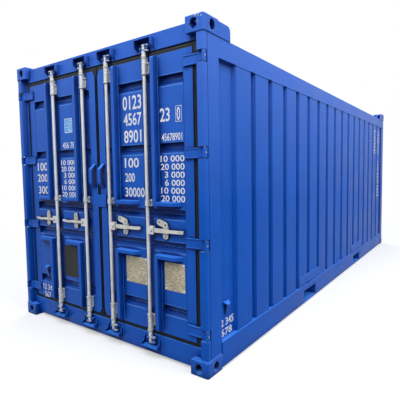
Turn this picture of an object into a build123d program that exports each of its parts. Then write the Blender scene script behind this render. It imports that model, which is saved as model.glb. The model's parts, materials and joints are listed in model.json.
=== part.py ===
# Twenty foot offshore dry container with two hinged doors.
# The origin is at the centre of the footprint on the ground, X runs along the
# length with the doors at -X, Y across, Z up. All sizes are in millimetres.

import math
import os
from build123d import *

os.makedirs("parts", exist_ok=True)

# Overall box and corner castings
length = 6058.0
width = 2438.0
height = 2591.0
casting_long = 178.0
casting_wide = 162.0
casting_high = 118.0
casting_wall = 20.0
casting_lid = 28.0
casting_round = 20.0
casting_bevel = 5.0
slot_long = 124.0
slot_wide = 63.5
slot_from_end = 102.5
slot_from_side = 89.5
eye_wide = 64.0
eye_high = 78.0
eye_sides = 12
corner_steps = 3

# Door end: the doors, header and sill stand back from the end of the castings
face_setback = 53.0
skin_inset = 6.0
opening_low = 186.0
opening_from_top = 152.0
jamb_from_side = 95.0
header_from_top = 22.0
sill_bottom = 27.0
beam_wall = 6.0
stop_back = 71.0
stop_wide = 34.0

# Corner posts
post_deep = 186.0
lip_wide = 69.0
lip_round = 14.0
channel_floor = 61.0
seam_from_end = 46.0
seam_wide = 4.0
seam_deep = 2.5
rear_post_wide = 149.0

# Side rails, walls, roof and floor
top_rail_high = 148.0
top_rail_wide = 90.0
top_rail_wall = 6.0
bottom_rail_low = 17.0
bottom_rail_top = 212.0
bottom_rail_wide = 73.0
bottom_rail_plate = 8.0
wall_sheet = 4.0
wall_setback = 8.0
corrugation_deep = 32.0
corrugation_pitch = 317.0
corrugation_web = 20.0
flat_wide = 232.0
first_flat = 424.0
floor_top = 186.0
floor_thick = 28.0
roof_sheet = 4.0
roof_drop = 5.0
roof_rib_pitch = 209.0
roof_rib_deep = 20.0
roof_crest_share = 0.3
roof_web_share = 0.1
rear_wall_setback = 25.0
rear_rib_count = 7

# Fork pockets and cross members
pocket_spacing = 2050.0
pocket_wide = 360.0
pocket_high = 115.0
pocket_low = 33.0
pocket_wall = 8.0
doubler_long = 607.0
doubler_high = 90.0
doubler_thick = 6.0
doubler_lift = 23.0
member_count = 18
member_high = 122.0
member_flange = 45.0
member_sheet = 5.0

# Doors
door_thick = 55.0
seal_gap = 5.0
seal_side = 42.0
seal_top = 36.0
seal_bottom = 31.0
seal_centre = 14.5
centre_half_gap = 5.5
seal_front_inset = 8.0
seal_proud = 9.0
hinge_stile = 87.0
inner_stile = 80.0
door_rail = 100.0
panel_sheet = 4.0
upper_grooves_from_top = (396.0, 903.0)
lower_grooves = (1179.0, 924.0, 418.0)
groove_high = 80.0
groove_deep = 32.0
groove_wall_run = 7.0
groove_floor_end = 2.0
groove_margin = 14.0
recess_deep = 20.0
recess_before_rod = 58.0
recess_after_rod = 38.0
recess_slope = 28.0
recess_far_slope = 8.0
leaf_cut_wide = 30.0
leaf_cut_high = 45.0

# Hinges
hinge_count = 4
hinge_low = 315.0
hinge_from_top = 288.0
pin_from_end = 17.0
pin_from_side = 16.0
pin_radius = 8.0
pin_clearance = 0.06
bore_sides = 12
barrel_radius = 13.0
barrel_steps = 6
blade_high = 74.0
blade_thick = 12.0
blade_offset = 11.0
blade_heel = 6.0
blade_reach = 203.0
crank_start = 54.0
crank_run = 20.0
rib_high = 9.0
rib_proud = 4.0
notch_high = 86.0

# Lock rods, cams, guards and handles
inner_rod = 168.0
outer_rod_from_edge = 456.0
rod_radius = 13.75
rod_clearance = 0.3
rod_standoff = 27.0
sleeve_radius = 19.0
sleeve_steps = 6
sleeve_flange = 62.0
flange_thick = 5.0
flange_round = 10.0
flange_short = 30.0
top_sleeve_from_top = (329.0, 199.0)
middle_sleeve = (1241.0, 1283.0)
bottom_sleeve = (228.0, 362.0)
low_cam = 151.0
high_cam_from_top = 129.0
prong_thick = 11.0
prong_gap = 30.0
prong_reach = 47.0
prong_tip = 10.0
heel_reach = 20.0
stub_sides = 8
keeper_high = 16.0
keeper_near = 24.0
keeper_far = 44.0
keeper_long = 32.0
guard_wide = 180.0
guard_plate = 10.0
guard_cheek = 6.0
guard_deep = 50.0
top_guard_from_top = 54.0
top_cheek_front = 61.0
top_cheek_back = 87.0
bottom_guard_low = 83.0
bottom_cheek_front = 34.0
bottom_cheek_back = 76.0
bottom_hook_deep = 17.0
bottom_hook_curve = 28.0
bottom_hook_round = 8.0
handle_height = 1050.0
handle_gap = 87.0
handle_thick = 10.0
handle_play = 0.3
handle_wide = {"right": 33.0, "left": 23.0}
handle_tip_wide = {"right": 25.0, "left": 20.0}
handle_dip = {"right": 0.0, "left": 6.0}
handle_rise = 3.0
handle_step_start = 0.55
handle_step_end = 0.6
handle_dip_place = 0.78
handle_tip_round = 8.0
hub_high = 66.0
hub_reach = 65.0
hub_deep = 24.0
catch_place = 175.0
catch_wide = 52.0
catch_base = 8.0
catch_plate = 8.0
catch_base_half = 30.0
catch_lug = 65.0
catch_lug_round = 22.0
catch_bend = 44.0
catch_bend_radius = 24.0
catch_eye_place = {"right": -65.0, "left": 2.0}
catch_eye_height = {"right": 64.0, "left": 62.0}
catch_eye_radius = {"right": 24.0, "left": 20.0}
catch_hole = 8.0
catch_bolt = 5.0
catch_sides = 10

# Rod guard bars beside the rods
bar_near = 80.0
bar_wide = 34.0
bar_deep = 50.0
bar_high = 28.0
bar_end_gap = 108.0
bar_chamfer = 55.0
upper_bar_low = 1246.0
lower_bar_top = 858.0
upper_bar_from_top = 204.0
lower_bar_end = 240.0
bar_round = 22.0

# Small fittings on the doors
grab_place = 59.0
grab_wide = 40.0
grab_thick = 8.0
grab_low = 1365.0
grab_high = 1587.0
grab_leg = 50.0
centre_plate = (1204.0, 1312.0)
centre_plate_reach = 95.0
centre_plate_over = 15.0
centre_plate_thick = 10.0
plate_thick = 2.0
data_plate_low = 581.0
data_plate_high = 803.0
inner_data_plate = (160.0, 404.0)
outer_data_plate = (147.0, 353.0)
document_sides = (182.0, 399.0)
document_low = 497.0
document_high = 797.0
tie_eye_wide = 86.0
tie_eye_front = 44.0
tie_eye_foot = 32.0
tie_eye_reach = 30.0
tie_eye_high = 122.0
tie_eye_drop = 22.0
tie_eye_bar = 10.0
door_tie_place = 241.0
door_tie_low = 438.0
wall_tie_from_end = 296.0
wall_tie_low = 373.0

# Lifting eyes and their guard plates on the top side rails
lift_eye_thick = 25.0
lift_eye_long = 110.0
lift_eye_high = 92.0
lift_eye_hole = 22.0
lift_eye_steps = 8
lift_eye_from_end = 262.0
guard_plate_long = 160.0
guard_plate_high = 108.0
guard_plate_thick = 8.0
guard_plate_inset = 1.0
guard_corner = 40.0

# Places that follow from the sizes above
end_x = length / 2
side_y = width / 2
opening_high = height - opening_from_top
header_top = height - header_from_top
jamb_half = side_y - jamb_from_side
lip_inner = side_y - lip_wide
door_face = -end_x + face_setback
door_back = door_face + door_thick
post_back = end_x - post_deep
skin_y = side_y - skin_inset
casting_inner_y = side_y - casting_wide
beam_back = -post_back
stop_face = door_face + stop_back
stop_y = jamb_half - stop_wide
door_edge = jamb_half - seal_gap - seal_side
door_centre_edge = centre_half_gap + seal_centre
door_low = opening_low + seal_gap + seal_bottom
door_high = opening_high - seal_gap - seal_top
panel_inner = door_centre_edge + inner_stile
panel_outer = door_edge - hinge_stile
top_rail_top = height - casting_high
top_rail_low = top_rail_top - top_rail_high
pin_x = -end_x + pin_from_end
pin_y = side_y - pin_from_side
rod_x = door_face - rod_standoff
rod_places = (inner_rod, door_edge - outer_rod_from_edge)
bar_ends = (rod_places[1] - bar_end_gap, panel_outer - 2 * groove_margin)
handle_length = rod_places[1] - rod_places[0] - handle_gap
cam_heights = (low_cam, height - high_cam_from_top)
top_sleeve = (height - top_sleeve_from_top[0], height - top_sleeve_from_top[1])
top_guard_top = height - top_guard_from_top
upper_bar_top = height - upper_bar_from_top
hinge_step = (height - hinge_from_top - hinge_low) / (hinge_count - 1)
hinge_heights = [hinge_low + n * hinge_step for n in range(hinge_count)]
groove_heights = [height - drop for drop in upper_grooves_from_top] + list(lower_grooves)
wall_outer = side_y - wall_setback
wall_inner = wall_outer - corrugation_deep
door_sides = {"right": -1, "left": 1}


def block(x0, x1, y0, y1, z0, z1, mode=Mode.ADD):
    with Locations(((x0 + x1) / 2, (y0 + y1) / 2, (z0 + z1) / 2)):
        Box(abs(x1 - x0), abs(y1 - y0), abs(z1 - z0), mode=mode)


def outline(points, mode=Mode.ADD):
    Polygon(*points, align=None, mode=mode)


def arc_points(x, y, radius, start, sweep, steps):
    points = []
    for n in range(steps + 1):
        angle = math.radians(start + sweep * n / steps)
        points.append((x + radius * math.cos(angle), y + radius * math.sin(angle)))
    return points


def soften(points, corners):
    # The outline with the numbered corners eased; corners gives how far each one reaches
    result = []
    for n, corner in enumerate(points):
        if n not in corners:
            result.append(corner)
            continue
        middle = Vector(*corner)
        start = middle + (Vector(*points[n - 1]) - middle).normalized() * corners[n]
        end = middle + (Vector(*points[(n + 1) % len(points)]) - middle).normalized() * corners[n]
        for step in range(corner_steps + 1):
            t = step / corner_steps
            point = start * (1 - t) ** 2 + middle * (2 * t * (1 - t)) + end * t ** 2
            result.append((point.X, point.Y))
    return result


def keep(part, name):
    part.label = name
    export_step(part, f"parts/{name}.step")


def eye_points(x, z):
    # Upright oval of a side or end hole of a corner casting
    straight = (eye_high - eye_wide) / 2
    half = eye_sides // 2
    top = arc_points(x, z + straight, eye_wide / 2, 0, 180, half)
    return top + arc_points(x, z - straight, eye_wide / 2, 180, 180, half)


def make_castings(name, upright):
    # upright is 1 for the top castings, whose slot opens upwards, -1 for the bottom ones
    slot_z = height if upright > 0 else 0.0
    middle_z = slot_z - upright * casting_high / 2
    cavity_high = casting_high - 2 * casting_lid
    back_x = end_x - casting_long
    plan = soften([
        (back_x, side_y), (end_x, side_y), (end_x, casting_inner_y), (back_x, casting_inner_y),
    ], {1: casting_round})
    with BuildPart() as castings:
        for end in (-1, 1):
            for side in (-1, 1):
                with BuildSketch(Plane.XY.offset(slot_z)):
                    outline([(end * x, side * y) for x, y in plan])
                extrude(amount=-upright * casting_high)
        outer_edges = [
            edge for edge in castings.edges()
            if abs((edge @ 0.5).Z - slot_z) < 1
            and abs((edge @ 0.5).X) > back_x + 1 and abs((edge @ 0.5).Y) > casting_inner_y + 1
        ]
        chamfer(outer_edges, length=casting_bevel)
        for end in (-1, 1):
            for side in (-1, 1):
                x = end * (end_x - casting_long / 2)
                y = side * (side_y - casting_wide / 2)
                with Locations((x, y, middle_z)):
                    Box(casting_long - 2 * casting_wall, casting_wide - 2 * casting_wall, cavity_high,
                        mode=Mode.SUBTRACT)
                slot_x = end * (end_x - slot_from_end)
                slot_y = side * (side_y - slot_from_side)
                with BuildSketch(Plane.XY.offset(slot_z)):
                    with Locations((slot_x, slot_y)):
                        SlotOverall(slot_long, slot_wide)
                extrude(amount=-upright * (casting_lid + 1), mode=Mode.SUBTRACT)
                with BuildSketch(Plane.XZ.offset(-side * side_y)):
                    outline(eye_points(slot_x, middle_z))
                extrude(amount=side * (casting_wall + 1), mode=Mode.SUBTRACT)
                with BuildSketch(Plane.YZ.offset(end * end_x)):
                    outline(eye_points(slot_y, middle_z))
                extrude(amount=-end * (casting_wall + 1), mode=Mode.SUBTRACT)
    keep(castings.part, name)


def make_door_posts():
    # J section with a weld seam beside the lip and a notch for every hinge
    front = -end_x + skin_inset
    floor_x = -end_x + channel_floor
    seam_x = -end_x + seam_from_end
    points = soften([
        (front, lip_inner), (front, skin_y), (seam_x, skin_y), (seam_x, skin_y - seam_deep),
        (seam_x + seam_wide, skin_y - seam_deep), (seam_x + seam_wide, skin_y), (-post_back, skin_y),
        (-post_back, stop_y), (stop_face, stop_y), (stop_face, jamb_half), (floor_x, jamb_half),
        (floor_x, lip_inner),
    ], {1: lip_round})
    with BuildPart() as posts:
        for side in (-1, 1):
            with BuildSketch(Plane.XY.offset(casting_high)):
                outline([(x, side * y) for x, y in points])
            extrude(amount=height - 2 * casting_high)
            for z in hinge_heights:
                block(-end_x, seam_x, side * (lip_inner - 1), side * side_y,
                      z - notch_high / 2, z + notch_high / 2, mode=Mode.SUBTRACT)
    keep(posts.part, "door_posts")


def make_rear_posts():
    back = end_x - skin_inset
    inner_y = skin_y - rear_post_wide
    plan = soften([
        (post_back, inner_y), (post_back, skin_y), (back, skin_y), (back, inner_y),
    ], {2: lip_round})
    with BuildPart() as posts:
        for side in (-1, 1):
            with BuildSketch(Plane.XY.offset(casting_high)):
                outline([(x, side * y) for x, y in plan])
            extrude(amount=height - 2 * casting_high)
    keep(posts.part, "rear_posts")


def beam_section(x0, x1, z0, z1):
    # Hollow beam section seen along Y, at the inner face of the castings
    with BuildSketch(Plane.XZ.offset(-casting_inner_y)) as section:
        with Locations(((x0 + x1) / 2, (z0 + z1) / 2)):
            Rectangle(x1 - x0, z1 - z0)
            Rectangle(x1 - x0 - 2 * beam_wall, z1 - z0 - 2 * beam_wall, mode=Mode.SUBTRACT)
    return section.sketch


def beam_ends(z0, z1):
    # Blocks that take a beam on to the stepped jambs, above or below the castings
    for side in (-1, 1):
        block(door_face, stop_face, side * casting_inner_y, side * jamb_half, z0, z1)
        block(stop_face, beam_back, side * casting_inner_y, side * stop_y, z0, z1)


def make_header():
    with BuildPart() as header:
        extrude(beam_section(door_face, beam_back, opening_high, header_top), amount=2 * casting_inner_y)
        beam_ends(opening_high, height - casting_high)
        block(stop_face, beam_back, -stop_y, stop_y, opening_high - stop_wide, opening_high)
    keep(header.part, "door_header")


def make_sill():
    with BuildPart() as sill:
        extrude(beam_section(door_face, beam_back, sill_bottom, opening_low), amount=2 * casting_inner_y)
        beam_ends(casting_high, opening_low)
    keep(sill.part, "door_sill")


def make_rear_beams():
    rear_outer = end_x - rear_wall_setback
    with BuildPart() as beams:
        extrude(beam_section(post_back, rear_outer, opening_high, header_top), amount=2 * casting_inner_y)
        extrude(beam_section(post_back, rear_outer, sill_bottom, opening_low), amount=2 * casting_inner_y)
    keep(beams.part, "rear_beams")


def make_top_side_rails():
    with BuildPart() as rails:
        for side in (-1, 1):
            with BuildSketch(Plane.YZ.offset(-post_back)):
                with Locations((side * (skin_y - top_rail_wide / 2), top_rail_top - top_rail_high / 2)):
                    Rectangle(top_rail_wide, top_rail_high)
                    Rectangle(top_rail_wide - 2 * top_rail_wall, top_rail_high - 2 * top_rail_wall,
                              mode=Mode.SUBTRACT)
            extrude(amount=2 * post_back)
    keep(rails.part, "top_side_rails")


def make_bottom_side_rails():
    # Channels with their web outside; they reach the castings below and the posts above
    low_end = end_x - casting_long
    with BuildPart() as rails:
        for side in (-1, 1):
            with BuildSketch(Plane.XZ.offset(-side * side_y)):
                outline([
                    (-low_end, bottom_rail_low), (low_end, bottom_rail_low), (low_end, casting_high),
                    (post_back, casting_high), (post_back, bottom_rail_top), (-post_back, bottom_rail_top),
                    (-post_back, casting_high), (-low_end, casting_high),
                ])
            extrude(amount=side * bottom_rail_wide)
            block(-low_end, low_end, side * (side_y - bottom_rail_wide), side * (side_y - bottom_rail_plate),
                  bottom_rail_low + bottom_rail_plate, bottom_rail_top - bottom_rail_plate,
                  mode=Mode.SUBTRACT)
            for end in (-1, 1):
                middle = end * pocket_spacing / 2
                half = pocket_wide / 2 + pocket_wall
                block(middle - half, middle + half, side * (side_y - bottom_rail_wide), side * side_y,
                      pocket_low - pocket_wall, pocket_low + pocket_high + pocket_wall, mode=Mode.SUBTRACT)
    keep(rails.part, "bottom_side_rails")


def make_fork_tubes():
    with BuildPart() as tubes:
        for end in (-1, 1):
            with BuildSketch(Plane.XZ.offset(-side_y + skin_inset)):
                with Locations((end * pocket_spacing / 2, pocket_low + pocket_high / 2)):
                    Rectangle(pocket_wide + 2 * pocket_wall, pocket_high + 2 * pocket_wall)
                    Rectangle(pocket_wide, pocket_high, mode=Mode.SUBTRACT)
            extrude(amount=2 * (side_y - skin_inset))
    keep(tubes.part, "fork_tubes")


def make_pocket_doublers():
    low = bottom_rail_top + doubler_lift
    with BuildPart() as plates:
        for side in (-1, 1):
            for end in (-1, 1):
                middle = end * pocket_spacing / 2
                block(middle - doubler_long / 2, middle + doubler_long / 2, side * wall_outer,
                      side * (wall_outer + doubler_thick), low, low + doubler_high)
    keep(plates.part, "pocket_doublers")


def wall_points():
    # Plan line of the outer skin of a side wall, from the door post to the rear post
    room = length - first_flat - post_deep - corrugation_web - flat_wide
    points = [(-post_back, wall_inner)]
    for n in range(int(room // corrugation_pitch) + 1):
        start = -end_x + first_flat + n * corrugation_pitch
        points.append((start - corrugation_web, wall_inner))
        points.append((start, wall_outer))
        points.append((start + flat_wide, wall_outer))
        points.append((start + flat_wide + corrugation_web, wall_inner))
    points.append((post_back, wall_inner))
    return points


def make_side_walls():
    skin = wall_points()
    back = [(x, y - wall_sheet) for x, y in reversed(skin)]
    with BuildPart() as walls:
        for side in (-1, 1):
            with BuildSketch(Plane.XY.offset(bottom_rail_top)):
                outline([(x, side * y) for x, y in skin + back])
            extrude(amount=top_rail_low - bottom_rail_top)
    keep(walls.part, "side_walls")


def make_rear_wall():
    outer = end_x - rear_wall_setback
    inner = outer - corrugation_deep
    half = skin_y - rear_post_wide
    pitch = 2 * half / rear_rib_count
    flat = pitch - flat_wide / 2
    points = [(inner, -half)]
    for n in range(rear_rib_count):
        middle = -half + (n + 0.5) * pitch
        points.append((inner, middle - flat / 2 - corrugation_web))
        points.append((outer, middle - flat / 2))
        points.append((outer, middle + flat / 2))
        points.append((inner, middle + flat / 2 + corrugation_web))
    points.append((inner, half))
    back = [(x - wall_sheet, y) for x, y in reversed(points)]
    with BuildPart() as wall:
        with BuildSketch(Plane.XY.offset(opening_low)):
            outline(points + back)
        extrude(amount=opening_high - opening_low)
    keep(wall.part, "rear_wall")


def make_roof():
    start = beam_back
    span = post_back - start
    count = int(span // roof_rib_pitch)
    margin = (span - count * roof_rib_pitch) / 2
    high = top_rail_top - roof_drop
    low = high - roof_rib_deep
    crest = roof_crest_share * roof_rib_pitch
    foot = crest + roof_web_share * roof_rib_pitch
    points = [(start, high)]
    for n in range(count):
        x = start + margin + n * roof_rib_pitch
        points.append((x + crest, high))
        points.append((x + foot, low))
        points.append((x + roof_rib_pitch - foot, low))
        points.append((x + roof_rib_pitch - crest, high))
    points.append((post_back, high))
    back = [(x, z - roof_sheet) for x, z in reversed(points)]
    reach = skin_y - top_rail_wide
    with BuildPart() as roof:
        with BuildSketch(Plane.XZ.offset(-reach)):
            outline(points + back)
        extrude(amount=2 * reach)
    keep(roof.part, "roof_panel")


def make_floor():
    reach = side_y - bottom_rail_plate
    with BuildPart() as floor:
        block(-post_back, post_back, -reach, reach, floor_top - floor_thick, floor_top)
    keep(floor.part, "floor_deck")


def make_cross_members():
    # C sections under the floor, left out where the fork tubes pass
    span = 2 * (end_x - casting_long)
    step = span / (member_count - 1)
    top = floor_top - floor_thick
    low = top - member_high
    reach = side_y - bottom_rail_plate
    clear = pocket_wide / 2 + pocket_wall + member_flange
    with BuildPart() as members:
        for n in range(1, member_count - 1):
            x = -span / 2 + n * step
            if abs(abs(x) - pocket_spacing / 2) < clear:
                continue
            with BuildSketch(Plane.XZ.offset(-reach)):
                outline([
                    (x, low), (x + member_flange, low), (x + member_flange, low + member_sheet),
                    (x + member_sheet, low + member_sheet), (x + member_sheet, top - member_sheet),
                    (x + member_flange, top - member_sheet), (x + member_flange, top), (x, top),
                ])
            extrude(amount=2 * reach)
    keep(members.part, "cross_members")


def make_lifting_eyes():
    guard_back = side_y - guard_plate_inset - guard_plate_thick
    eye_y = (guard_back + skin_y - top_rail_wide) / 2
    round_z = lift_eye_high - lift_eye_long / 2
    body = [(-lift_eye_long / 2, 0), (lift_eye_long / 2, 0)]
    body += arc_points(0, round_z, lift_eye_long / 2, 0, 180, lift_eye_steps)
    hole = arc_points(0, round_z, lift_eye_hole, 0, 360, 2 * lift_eye_steps)[:-1]
    with BuildPart() as eyes:
        for end in (-1, 1):
            for side in (-1, 1):
                x = end * (end_x - lift_eye_from_end)
                turn = math.degrees(math.atan2(side * eye_y, x))
                plane = Plane(
                    origin=(x, side * eye_y, top_rail_top),
                    x_dir=Vector(1, 0, 0).rotate(Axis.Z, turn),
                    z_dir=Vector(0, -1, 0).rotate(Axis.Z, turn),
                )
                with BuildSketch(plane):
                    outline(body)
                    outline(hole, mode=Mode.SUBTRACT)
                extrude(amount=lift_eye_thick / 2, both=True)
    keep(eyes.part, "lifting_eyes")


def make_eye_guards():
    start = end_x - casting_long
    face_y = side_y - guard_plate_inset
    top = top_rail_top + guard_plate_high
    far = start - guard_plate_long
    points = soften([
        (start, top_rail_top), (far, top_rail_top), (far, top), (start, top),
    ], {2: guard_corner})
    with BuildPart() as guards:
        for end in (-1, 1):
            for side in (-1, 1):
                with BuildSketch(Plane.XZ.offset(-side * face_y)):
                    outline([(end * x, z) for x, z in points])
                extrude(amount=side * guard_plate_thick)
    keep(guards.part, "eye_guards")


def make_hinge_pins():
    with BuildPart() as pins:
        for side in door_sides.values():
            for z in hinge_heights:
                with Locations((pin_x, side * pin_y, z)):
                    Cylinder(pin_radius, notch_high)
    keep(pins.part, "hinge_pins")


def make_cam_guards():
    # Shelf and two cheeks around the end of every rod, above on the header, below on the sill
    front = door_face - guard_deep
    hook = door_face - bottom_hook_deep
    step = bottom_guard_low + bottom_cheek_front
    back = bottom_guard_low + bottom_cheek_back
    upper = [
        (door_face, top_guard_top), (front, top_guard_top), (front, top_guard_top - top_cheek_front),
        (door_face, top_guard_top - top_cheek_back),
    ]
    lower = soften([
        (door_face, bottom_guard_low), (front, bottom_guard_low), (front, step), (hook, step), (hook, back),
        (door_face, back),
    ], {3: bottom_hook_curve, 4: bottom_hook_round})
    with BuildPart() as guards:
        for side in door_sides.values():
            for place in rod_places:
                middle = side * place
                for edge in (-1, 1):
                    for cheek in (upper, lower):
                        with BuildSketch(Plane.XZ.offset(-middle - edge * guard_wide / 2)):
                            outline(cheek)
                        extrude(amount=edge * guard_cheek)
                for low in (top_guard_top - guard_plate, bottom_guard_low):
                    block(front, door_face, middle - guard_wide / 2, middle + guard_wide / 2,
                          low, low + guard_plate)
    keep(guards.part, "cam_guards")


def make_keepers():
    with BuildPart() as keepers:
        for side in door_sides.values():
            for place in rod_places:
                for z in cam_heights:
                    for edge in (-1, 1):
                        y0 = side * place + edge * keeper_near
                        y1 = side * place + edge * keeper_far
                        block(door_face - keeper_long, door_face, y0, y1,
                              z - keeper_high / 2, z + keeper_high / 2)
    keep(keepers.part, "cam_keepers")


def tie_eye(face):
    # Bent flat bar on a sheet; the plane lies on the sheet, y up, its origin at the foot of the eye
    profile = [
        (0, tie_eye_high), (tie_eye_reach, tie_eye_high - tie_eye_drop), (0, 0), (0, 2 * tie_eye_bar),
        (tie_eye_reach - tie_eye_bar, tie_eye_high - tie_eye_drop - tie_eye_bar / 2),
        (0, tie_eye_high - tie_eye_bar),
    ]
    front = [
        (-tie_eye_wide / 2, tie_eye_high), (-tie_eye_front / 2, tie_eye_high - tie_eye_drop),
        (-tie_eye_foot / 2, 0), (tie_eye_foot / 2, 0), (tie_eye_front / 2, tie_eye_high - tie_eye_drop),
        (tie_eye_wide / 2, tie_eye_high),
    ]
    with BuildPart() as eye:
        with BuildSketch(Plane(origin=face.origin, x_dir=face.z_dir, z_dir=-face.x_dir)):
            outline(profile)
        extrude(amount=tie_eye_wide / 2, both=True)
        with BuildSketch(face):
            outline(front)
        extrude(amount=tie_eye_reach, mode=Mode.INTERSECT)
    return eye.part


def make_tie_eyes():
    x = -end_x + wall_tie_from_end
    right = tie_eye(Plane(origin=(x, -wall_inner, wall_tie_low), x_dir=(1, 0, 0), z_dir=(0, -1, 0)))
    left = tie_eye(Plane(origin=(x, wall_inner, wall_tie_low), x_dir=(-1, 0, 0), z_dir=(0, 1, 0)))
    keep(right + left, "wall_tie_eyes")
    y = rod_places[1] + door_tie_place
    door = tie_eye(Plane(origin=(door_face, y, door_tie_low), x_dir=(0, -1, 0), z_dir=(-1, 0, 0)))
    keep(door, "door_tie_eye")


def leaf_points(side):
    # Front outline of a door leaf, its centre corners cut off for the flared seal
    cut_y = door_centre_edge + leaf_cut_wide
    points = [
        (cut_y, door_low), (door_edge, door_low), (door_edge, door_high), (cut_y, door_high),
        (door_centre_edge, door_high - leaf_cut_high), (door_centre_edge, door_low + leaf_cut_high),
    ]
    return [(side * y, z) for y, z in points]


def make_door_frame(name, side):
    middle = side * (panel_inner + panel_outer) / 2
    panel_high = door_high - door_low - 2 * door_rail
    with BuildPart() as frame:
        with BuildSketch(Plane.YZ.offset(door_face)):
            outline(leaf_points(side))
            with Locations((middle, (door_low + door_high) / 2)):
                Rectangle(panel_outer - panel_inner, panel_high, mode=Mode.SUBTRACT)
        extrude(amount=door_thick)
    keep(frame.part, name)


def groove_section(side, z, grow):
    # Pressed groove seen along Y: steep above, a flat floor, then a long slope outwards
    half = groove_high / 2 + grow
    deep = door_face + groove_deep + grow
    with BuildSketch(Plane.XZ.offset(-side * panel_inner)) as section:
        outline([
            (door_face, z + half), (deep, z + half - groove_wall_run), (deep, z - groove_floor_end - grow),
            (door_face, z - half),
        ])
    return section.sketch


def recess_section(side, place, after, far_slope, z, grow):
    # Shallow recess behind a rod seen from above
    deep = door_face + recess_deep + grow
    with BuildSketch(Plane.XY.offset(z)) as section:
        outline([(x, side * y) for x, y in (
            (door_face, place - recess_before_rod - grow), (deep, place - recess_before_rod + recess_slope),
            (deep, place + after - far_slope + grow), (door_face, place + after + grow),
        )])
    return section.sketch


def make_door_panel(name, side):
    low = door_low + door_rail
    high = door_high - door_rail
    upper = (middle_sleeve[1] + groove_margin, top_sleeve[0] - groove_margin)
    lower = (bottom_sleeve[1] + groove_margin, middle_sleeve[0] - groove_margin)
    beside_upper = (upper_bar_low + bar_high + groove_margin, upper[1])
    beside_lower = (lower[0], lower_bar_top - bar_high - groove_margin)
    with BuildPart() as panel:
        block(door_face, door_face + panel_sheet, side * panel_inner, side * panel_outer, low, high)
        for grow, mode in ((panel_sheet, Mode.ADD), (0.0, Mode.SUBTRACT)):
            for z in groove_heights:
                extrude(groove_section(side, z, grow), amount=panel_outer - panel_inner, dir=(0, side, 0),
                        mode=mode)
            for place in rod_places:
                for z0, z1 in (upper, lower):
                    section = recess_section(side, place, recess_after_rod, recess_far_slope,
                                             z0 - grow, grow)
                    extrude(section, amount=z1 - z0 + 2 * grow, mode=mode)
                for z0, z1 in (beside_upper, beside_lower):
                    section = recess_section(side, place, bar_near, 0.0, z0 - grow, grow)
                    extrude(section, amount=z1 - z0 + 2 * grow, mode=mode)
    keep(panel.part, name)


def make_door_seal(name, side):
    seal_outer = jamb_half - seal_gap
    middle = side * (seal_outer + centre_half_gap) / 2
    low = opening_low + seal_gap
    high = opening_high - seal_gap
    front = door_face + seal_front_inset
    with BuildPart() as seal:
        with BuildSketch(Plane.YZ.offset(front)):
            with Locations((middle, (low + high) / 2)):
                Rectangle(seal_outer - centre_half_gap, high - low)
            outline(leaf_points(side), mode=Mode.SUBTRACT)
        extrude(amount=door_back + seal_proud - front)
        if side > 0:
            block(front, door_back + seal_proud, 0, side * door_centre_edge,
                  centre_plate[0] - seal_gap, centre_plate[1] + seal_gap, mode=Mode.SUBTRACT)
    keep(seal.part, name)


def make_hinge_blades(name, side):
    # Plan outline in distance from the pin towards the door and depth behind the pin
    seat = door_face - pin_x
    near = blade_offset
    crank_end = crank_start + crank_run
    back_shift = blade_thick / 3
    blade = [
        (-blade_heel, near), (crank_start, near), (crank_end, seat - blade_thick),
        (blade_reach, seat - blade_thick), (blade_reach, seat), (crank_end - back_shift, seat),
        (crank_start - back_shift, near + blade_thick), (-blade_heel, near + blade_thick),
    ]
    barrel = arc_points(0, 0, barrel_radius, -180, 180, barrel_steps)
    barrel += [(barrel_radius, near + 1), (-barrel_radius, near + 1)]
    rib = [
        (crank_end, seat - blade_thick), (blade_reach, seat - blade_thick),
        (blade_reach, seat - blade_thick - rib_proud), (crank_end, seat - blade_thick - rib_proud),
    ]
    with BuildPart() as blades:
        for z in hinge_heights:
            low = z - blade_high / 2
            with BuildSketch(Plane.XY.offset(low)):
                outline([(pin_x + d, side * (pin_y - s)) for s, d in blade])
                outline([(pin_x + d, side * (pin_y - s)) for s, d in barrel])
                with Locations((pin_x, side * pin_y)):
                    RegularPolygon(pin_radius + pin_clearance, bore_sides, major_radius=False,
                                   mode=Mode.SUBTRACT)
            extrude(amount=blade_high)
            for rib_low in (low, low + blade_high - rib_high):
                with BuildSketch(Plane.XY.offset(rib_low)):
                    outline([(pin_x + d, side * (pin_y - s)) for s, d in rib])
                extrude(amount=rib_high)
    keep(blades.part, name)


def make_rod_bearings(name, side):
    flange_front = door_face - flange_thick
    bearings_at = (
        (bottom_sleeve, bottom_sleeve[0] + flange_short, bottom_sleeve[1]),
        (middle_sleeve, middle_sleeve[0] - flange_round, middle_sleeve[1] + flange_round),
        (top_sleeve, top_sleeve[0], top_sleeve[1] - flange_short),
    )
    with BuildPart() as bearings:
        for place in rod_places:
            y = side * place
            half = sleeve_flange / 2
            body = arc_points(rod_x, y, sleeve_radius, 90, 180, sleeve_steps)
            body += [(flange_front, y - sleeve_radius), (flange_front, y + sleeve_radius)]
            for (low, high), flange_low, flange_high in bearings_at:
                corners = [
                    (y - half, flange_low), (y + half, flange_low),
                    (y + half, flange_high), (y - half, flange_high),
                ]
                with BuildSketch(Plane.YZ.offset(flange_front)):
                    outline(soften(corners, {n: flange_round for n in range(4)}))
                extrude(amount=flange_thick)
                with BuildSketch(Plane.XY.offset(low)):
                    outline(body)
                    with Locations((rod_x, y)):
                        RegularPolygon(rod_radius + rod_clearance, bore_sides, major_radius=False,
                                       mode=Mode.SUBTRACT)
                extrude(amount=high - low)
    keep(bearings.part, name)


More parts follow.
